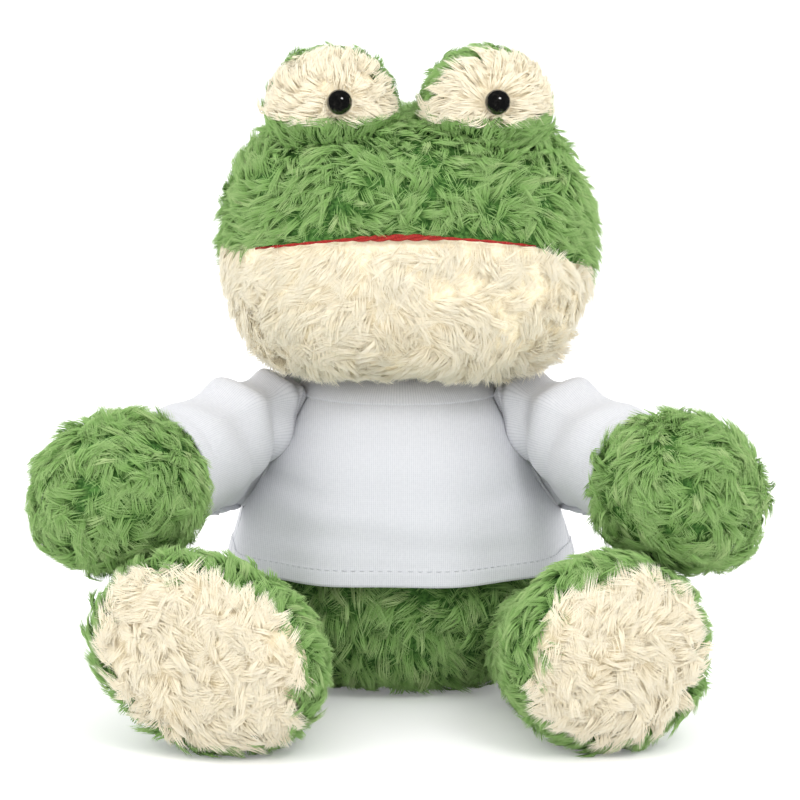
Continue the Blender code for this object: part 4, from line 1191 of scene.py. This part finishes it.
def shirtSize(z):
    # half width and half depth of the hanging shirt: the torso plus an ease, never drawing in again
    levels = np.linspace(neckTop, shirtHem, 120)
    share = (neckTop - levels) / shirt["length"]
    ease = shirt["neckEase"] + (shirt["hemEase"] - shirt["neckEase"]) * share
    width = np.maximum.accumulate(np.interp(levels, wideLine[:, 2], wideLine[:, 0]) + ease)
    depth = np.maximum.accumulate(np.interp(levels, deepLine[:, 2], seatY - deepLine[:, 1]) + ease)
    return np.interp(z, levels[::-1], width[::-1]), np.interp(z, levels[::-1], depth[::-1])


def shirtPoint(turn, z, raised=0.0):
    # superellipse ring at height z; turn 0 is the left side, a quarter turn is straight ahead
    width, depth = shirtSize(z)
    share = np.clip((neckTop - z) / shirt["length"], 0, 1)
    power = 2 / shirt["square"]
    x = width * np.sign(np.cos(turn)) * np.abs(np.cos(turn)) ** power
    y = -depth * np.sign(np.sin(turn)) * np.abs(np.sin(turn)) ** power
    size = np.hypot(x, y)
    wave = shirt["waveDepth"] * np.cos(shirt["waves"] * turn + share) * share**2
    grow = 1 + (wave + raised) / size
    return np.stack([x * grow, y * grow + seatY, z + 0 * x], -1)


def raglanHalf(z):
    # half width between the two raglan seams at height z
    share = np.clip((bandLow - z) / (bandLow - armpitZ), 0, 1)
    return shirt["raglanNeck"] + (shirtSize(armpitZ)[0] - shirt["raglanNeck"]) * share


def edgeTurn(z):
    # the turn at which a panel ends: on the raglan seam, and at the side below the armpit
    share = np.where(z > armpitZ, np.clip(raglanHalf(z) / shirtSize(z)[0], 0, 1), 1.0)
    return np.arccos(share ** (shirt["square"] / 2))


def softFolds(x, z, front):
    # each roll is a ridge or a hollow along a sloping line; the back has them mirrored
    x = x if front else -x
    total = 0 * x
    for middle, height, slope, reach, width, depth in frontFolds:
        line = height * mm + slope * (x - middle * mm)
        total = total + depth * mm * bell(z, line, width * mm) * bell(x, middle * mm, reach * mm)
    return total


def buildPanel(name, front, replaced):
    # rows run from the neckband's seam to the hem, columns from seam to seam
    z = np.linspace(bandLow, shirtHem, shirt["rows"])[:, None]
    share = np.linspace(-1, 1, shirt["columns"])[None, :]
    quarter = math.pi / 2
    turn = quarter + (quarter - edgeTurn(z)) * share
    turn = turn if front else -turn
    z = z + 0 * share
    flat = shirtPoint(turn, z)
    # the hem is doubled, and the cloth dips at its seams
    strip = np.clip((z - shirtHem) / shirt["hemStrip"], 0, 1.2)
    raised = softFolds(flat[..., 0], z, front) + shirt["doubled"] * (1 - np.clip((strip - 0.92) / 0.12, 0, 1))
    raised = raised - shirt["edgeDip"] * bell(np.abs(share), 1, 1 / 45)
    raised = raised - shirt["topDip"] * bell(z, bandLow, shirt["topDipWidth"])
    grid = shirtPoint(turn, z, raised)
    pattern = np.stack([flat[..., 0] * 1.25, z], -1)
    piece = clothGrid(name, grid, pattern, whiteJersey, shirt["cloth"], outward=(0.0, seatY, 0.07))
    dress(piece, "torso", replaced)


def seamLoop(count):
    # the raglan opening on the left side, from the armpit by the back seam, the neckband's edge
    # and the front seam, in equal steps of length; each point with the way the cloth leaves it
    z = np.linspace(armpitZ, bandLow, 200)
    edge = edgeTurn(z)
    back = shirtPoint(-edge, z)
    front = shirtPoint(edge, z)[::-1]
    top = shirtPoint(np.linspace(-edge[-1], edge[-1], 60), np.full(60, bandLow))[1:-1]
    loop = np.concatenate([back, top, front])
    step = 0.05
    backLeave = unit(shirtPoint(-edge + step, z) - back)
    frontLeave = unit(shirtPoint(edge - step, z)[::-1] - front)
    topLeave = unit((backLeave[-1] + frontLeave[0])[None] + np.array(sleeve["topLeave"]))
    leave = np.concatenate([backLeave, np.repeat(topLeave, len(top), axis=0), frontLeave])
    length = lengthAlong(loop)
    at = np.linspace(0, length[-1], count, endpoint=False)
    found = np.stack([np.interp(at, length, values[:, i]) for values in (loop, leave) for i in range(3)])
    half = 12
    share = bell(np.arange(-half, half + 1), 0, 5.0)
    ringed = np.concatenate([found[3:, -half:], found[3:], found[3:, :half]], 1)
    smooth = [np.convolve(row, share / share.sum(), "valid") for row in ringed]
    return found[:3].T, unit(np.stack(smooth, -1))


sleeve = {
    "length": 56.5 * mm, "cuffRadius": 17.4 * mm, "room": 10.5 * mm, "frontLess": 4 * mm, "round": 1.2 * mm,
    "leave": 16 * mm, "frontLeaveLess": 6 * mm, "arrive": 22 * mm, "topLeave": (0.6, 0.0, 0.5),
    "columns": 112, "rows": 60, "dip": 0.35 * mm, "strip": 0.35 * mm, "girth": 21 * mm, "drop": 56 * mm,
    "bend": (2 * mm, 40 * mm),
}
# rolls and creases across the sleeve: each has its distance from the seam at the arm's level, how
# much farther it is on top and nearer underneath, its width, and its height in mm below and on top
foldShares = (
    (0.07, 0.03, 0.05, 0.2, 2.4), (0.17, 0.09, 0.09, 0.8, 4.2), (0.31, 0.09, 0.04, -1.8, 2.2),
    (0.43, 0.09, 0.09, 0.8, 4.0), (0.56, 0.1, 0.05, -0.7, 0.8), (0.7, 0.1, 0.09, 0.5, 0.8),
)


def sleeveFolds(share, around):
    level = np.sin(around)
    shown = 0.3 + 0.7 * np.exp(-(((np.mod(around + tau / 4, tau) - 0.62 * tau) / 1.6) ** 4))
    under = np.clip(-level, 0, 1)
    folds = 0.5 * mm * np.sin(around * 3 + 7 * share) * np.sin(math.pi * share) ** 2
    for middle, climb, width, depth, more in foldShares:
        line = middle + climb * level + 0.012 * np.sin(5 * around)
        height = (depth + more * np.clip(level, 0, 1)) * mm * (1 - 0.4 * under)
        folds = folds + shown * height * bell(share, line, width)
    return folds


def buildSleeve(side):
    # a curved tube from the raglan opening to the cuff, worked out on the left and mirrored
    mirror = np.array((sides[side], 1, 1))
    count, rows = sleeve["columns"], sleeve["rows"]
    pivot = pivotOf("arm_lift_" + side) * mirror
    aim = unit(forms["paw_" + side]["middle"] * mirror - pivot)
    out = unit(np.cross((0.0, 0.0, 1.0), aim))
    out = out * np.sign(out[0])
    up = np.cross(aim, out)
    up = up * np.sign(up[2])
    start, leave = seamLoop(count)
    turn = -math.pi / 2 + tau * np.linspace(0, 1, count, endpoint=False)
    cuff = pivot + aim * sleeve["length"] + spokesAt(turn, out, up) * sleeve["cuffRadius"]
    frontness = np.clip(-np.cos(turn), 0, 1)
    leaveReach = sleeve["leave"] - sleeve["frontLeaveLess"] * frontness
    s = np.linspace(0, 1, rows)[:, None, None]
    h0, h1 = 2 * s**3 - 3 * s**2 + 1, -2 * s**3 + 3 * s**2
    g0, g1 = s**3 - 2 * s**2 + s, s**3 - s**2
    grid = h0 * start + h1 * cuff + g0 * leave * leaveReach[:, None] * 2 + g1 * aim * sleeve["arrive"] * 2
    # past the seam the sleeve keeps a room round the arm: a smooth greatest of two radii
    share = s[..., 0]
    along = (grid - pivot) @ aim
    spokes = squareTo(grid - pivot, aim)
    radius = np.linalg.norm(spokes, axis=-1)
    near = sleeve["room"] - sleeve["frontLess"] * frontness
    room = (near + (sleeve["cuffRadius"] - near) * share) * np.clip(share / 0.06, 0, 1)
    wanted = room + sleeve["round"] * np.logaddexp(0, (radius - room) / sleeve["round"])
    grid = grid + spokes * (wanted / radius - 1)[..., None]
    # folds, the dip at the seam and the doubled cuff, square to the cloth
    normal = unit(np.cross(np.gradient(grid, axis=0), np.roll(grid, -1, 1) - np.roll(grid, 1, 1)))
    inner = pivot + aim * np.clip(along, 0, sleeve["length"])[..., None]
    normal = normal * np.sign(np.einsum("rci,rci->rc", normal, grid - inner))[..., None]
    raised = sleeveFolds(share, turn[None, :]) - sleeve["dip"] * bell(share, 0, 0.02)
    raised = raised + sleeve["strip"] * np.clip((share - 0.90) / 0.015, 0, 1)
    grid = (grid + normal * raised[..., None]) * mirror
    columns, lengths = np.linspace(0, tau * sleeve["girth"], count + 1), np.linspace(0, sleeve["drop"], rows)
    pattern = np.stack(np.meshgrid(columns, lengths), -1)
    if side == "right":
        grid, pattern = grid[:, ::-1], pattern[:, ::-1]
    middle = tuple(pivot * mirror)
    piece = clothGrid("sleeve_" + side, grid, pattern, whiteJersey, shirt["cloth"], True, middle)
    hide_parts("shirt_sleeve_" + side)
    start, end = (tuple((pivot + aim * reach) * mirror) for reach in sleeve["bend"])
    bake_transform(piece)


neckband = {
    "columns": 200, "rows": 14, "overlap": 0.7 * mm, "rise": 0.4 * mm, "bulge": 0.45 * mm, "cloth": 1.5 * mm,
    "girth": 0.185, "patternGirth": 0.19,
}


def buildNeckband():
    # a doubled strip round the neck, rounded over at its top edge
    columns = neckband["columns"]
    turn = np.linspace(0, tau, columns, endpoint=False)[None, :]
    share = np.linspace(0, 1, neckband["rows"])[:, None]
    z = bandLow - neckband["overlap"] + (shirt["band"] + neckband["rise"]) * (1 - share)
    bulge = neckband["bulge"] * np.sin(math.pi * share) ** 0.7
    grid = shirtPoint(turn + 0 * z, z + 0 * turn, bulge + 0 * turn)
    pattern = np.stack(np.meshgrid(np.linspace(0, 1, columns + 1) * neckband["patternGirth"], z[:, 0]), -1)
    piece = clothGrid("neckband", grid, pattern, whiteJersey, neckband["cloth"], True, (0.0, seatY, 0.09))
    dress(piece, "torso", "shirt_neckband")


thread = {
    "stitches": 128, "half": 0.75 * mm, "radius": 0.17 * mm, "proud": 0.25 * mm, "rings": 5, "around": 6,
}


def buildHemStitches():
    # small sewn loops in a row above the hem's edge, as one piece: each is rings along a short rod
    count, levels, around = thread["stitches"], thread["rings"], thread["around"]
    turn = np.linspace(0, tau, count, endpoint=False)
    z = np.full(count, shirtHem + shirt["hemStrip"])
    x = shirtPoint(turn, z)[:, 0]
    drape = np.where(np.sin(turn) > 0, softFolds(x, z, True), softFolds(x, z, False))
    middle = shirtPoint(turn, z, drape + thread["proud"])
    tangent = unit(np.roll(middle, -1, 0) - np.roll(middle, 1, 0))
    out = unit(np.cross(tangent, (0.0, 0.0, 1.0)))
    ring = np.linspace(0, tau, around, endpoint=False)
    spokes = spokesAt(ring, out[:, None], np.cross(out, tangent)[:, None])
    shares = np.linspace(-1, 1, levels)
    radius = thread["radius"] * np.sqrt(np.clip(1 - (shares * 0.92) ** 2, 0, 1))
    centre = middle[:, None] + tangent[:, None] * (shares * thread["half"])[None, :, None]
    places = centre[:, :, None] + spokes[:, None] * radius[None, :, None, None]
    step = np.arange(around)
    ahead = (step + 1) % around
    base = np.arange(levels - 1)[:, None] * around
    quads = np.stack([base + step, base + ahead, base + around + ahead, base + around + step], -1)
    first = np.stack([0 * step[2:], step[2:], step[1:-1]], -1)
    last = (levels - 1) * around + first[:, (0, 2, 1)]
    offset = (np.arange(count) * levels * around)[:, None, None]
    caps = np.concatenate([first, last])
    faces = [(offset + quads.reshape(-1, 4)).reshape(-1, 4), (offset + caps).reshape(-1, 3)]
    piece = buildMesh("hem_stitches", places.reshape(-1, 3), faces, whiteJersey)
    setUv(piece, "cloth", np.zeros((len(piece.data.loops), 2)))
    dress(piece, "torso")


buildPanel("shirt_front_panel", True, "shirt_front")
buildPanel("shirt_back_panel", False, "shirt_back")
buildNeckband()
buildHemStitches()
for side in sides:
    buildSleeve(side)
print("shirt done")

# floor, lights and camera

studio = {"world": 1.4, "mirrored": 0.1, "floor": 0.92, "glow": 0.16, "reach": 12.0}
lamps = {
    "key": {"place": (0.45, -0.9, 0.95), "size": 0.38, "power": 4.0, "mirrored": True},
    "fill": {"place": (-0.8, -0.7, 0.6), "size": 0.9, "power": 2.2, "mirrored": False},
}
lampTarget = (0.0, 0.03, 0.09)
camera = {"place": (0.0, -1.24565, 0.31374), "target": (0.0, 0.0346, 0.088), "angleDeg": 10.98}


def buildStage():
    reach = studio["reach"]
    places = np.array([(-reach, -reach, 0), (reach, -reach, 0), (reach, reach, 0), (-reach, reach, 0)])
    material, tree, shader = newMaterial("pale floor")
    colour = (studio["floor"], studio["floor"], studio["floor"], 1.0)
    fillInputs(tree, shader, {"Base Color": colour, "Roughness": 0.9, "Specular IOR Level": 0.1})
    seen = addNode(tree, "LightPath", {}).outputs["Is Camera Ray"]
    strength = addNode(tree, "Math", {0: seen, 1: studio["glow"]}, operation="MULTIPLY").outputs[0]
    glow = addNode(tree, "Emission", {"Strength": strength}).outputs[0]
    both = addNode(tree, "AddShader", {0: shader.outputs[0], 1: glow}).outputs[0]
    tree.links.new(both, tree.nodes["Material Output"].inputs["Surface"])
    floor = buildMesh("floor", places, [np.array([[0, 1, 2, 3]])], material)
    floor.visible_glossy = False

    world = bpy.data.worlds.new("studio")
    bpy.context.scene.world = world
    world.use_nodes = True
    tree = world.node_tree
    # the studio's walls, which only shiny pieces mirror, are darker than its light; its back is white
    glossy = addNode(tree, "LightPath", {}).outputs["Is Glossy Ray"]
    inputs = {"Value": glossy, "To Min": studio["world"], "To Max": studio["mirrored"]}
    strength = addNode(tree, "MapRange", inputs).outputs["Result"]
    fillInputs(tree, tree.nodes["Background"], {"Color": (1.0, 1.0, 1.0, 1.0), "Strength": strength})


def placeItem(name, data, place, target):
    # a lamp or a camera that looks from its place at the target
    item = bpy.data.objects.new(name, data)
    bpy.context.scene.collection.objects.link(item)
    item.location = place
    item.rotation_euler = (Vector(target) - Vector(place)).to_track_quat("-Z", "Y").to_euler()
    return item


def addLamp(name):
    look = lamps[name]
    lamp = bpy.data.lights.new(name, "AREA")
    lamp.shape = "DISK"
    lamp.size = look["size"]
    lamp.energy = look["power"]
    placeItem(name, lamp, look["place"], lampTarget).visible_glossy = look["mirrored"]


def addCamera():
    lens = bpy.data.cameras.new("camera")
    lens.sensor_fit = "HORIZONTAL"
    lens.angle = math.radians(camera["angleDeg"])
    bpy.context.scene.camera = placeItem("camera", lens, camera["place"], camera["target"])


buildStage()
for name in lamps:
    addLamp(name)
addCamera()
bpy.context.scene.view_settings.view_transform = "Standard"
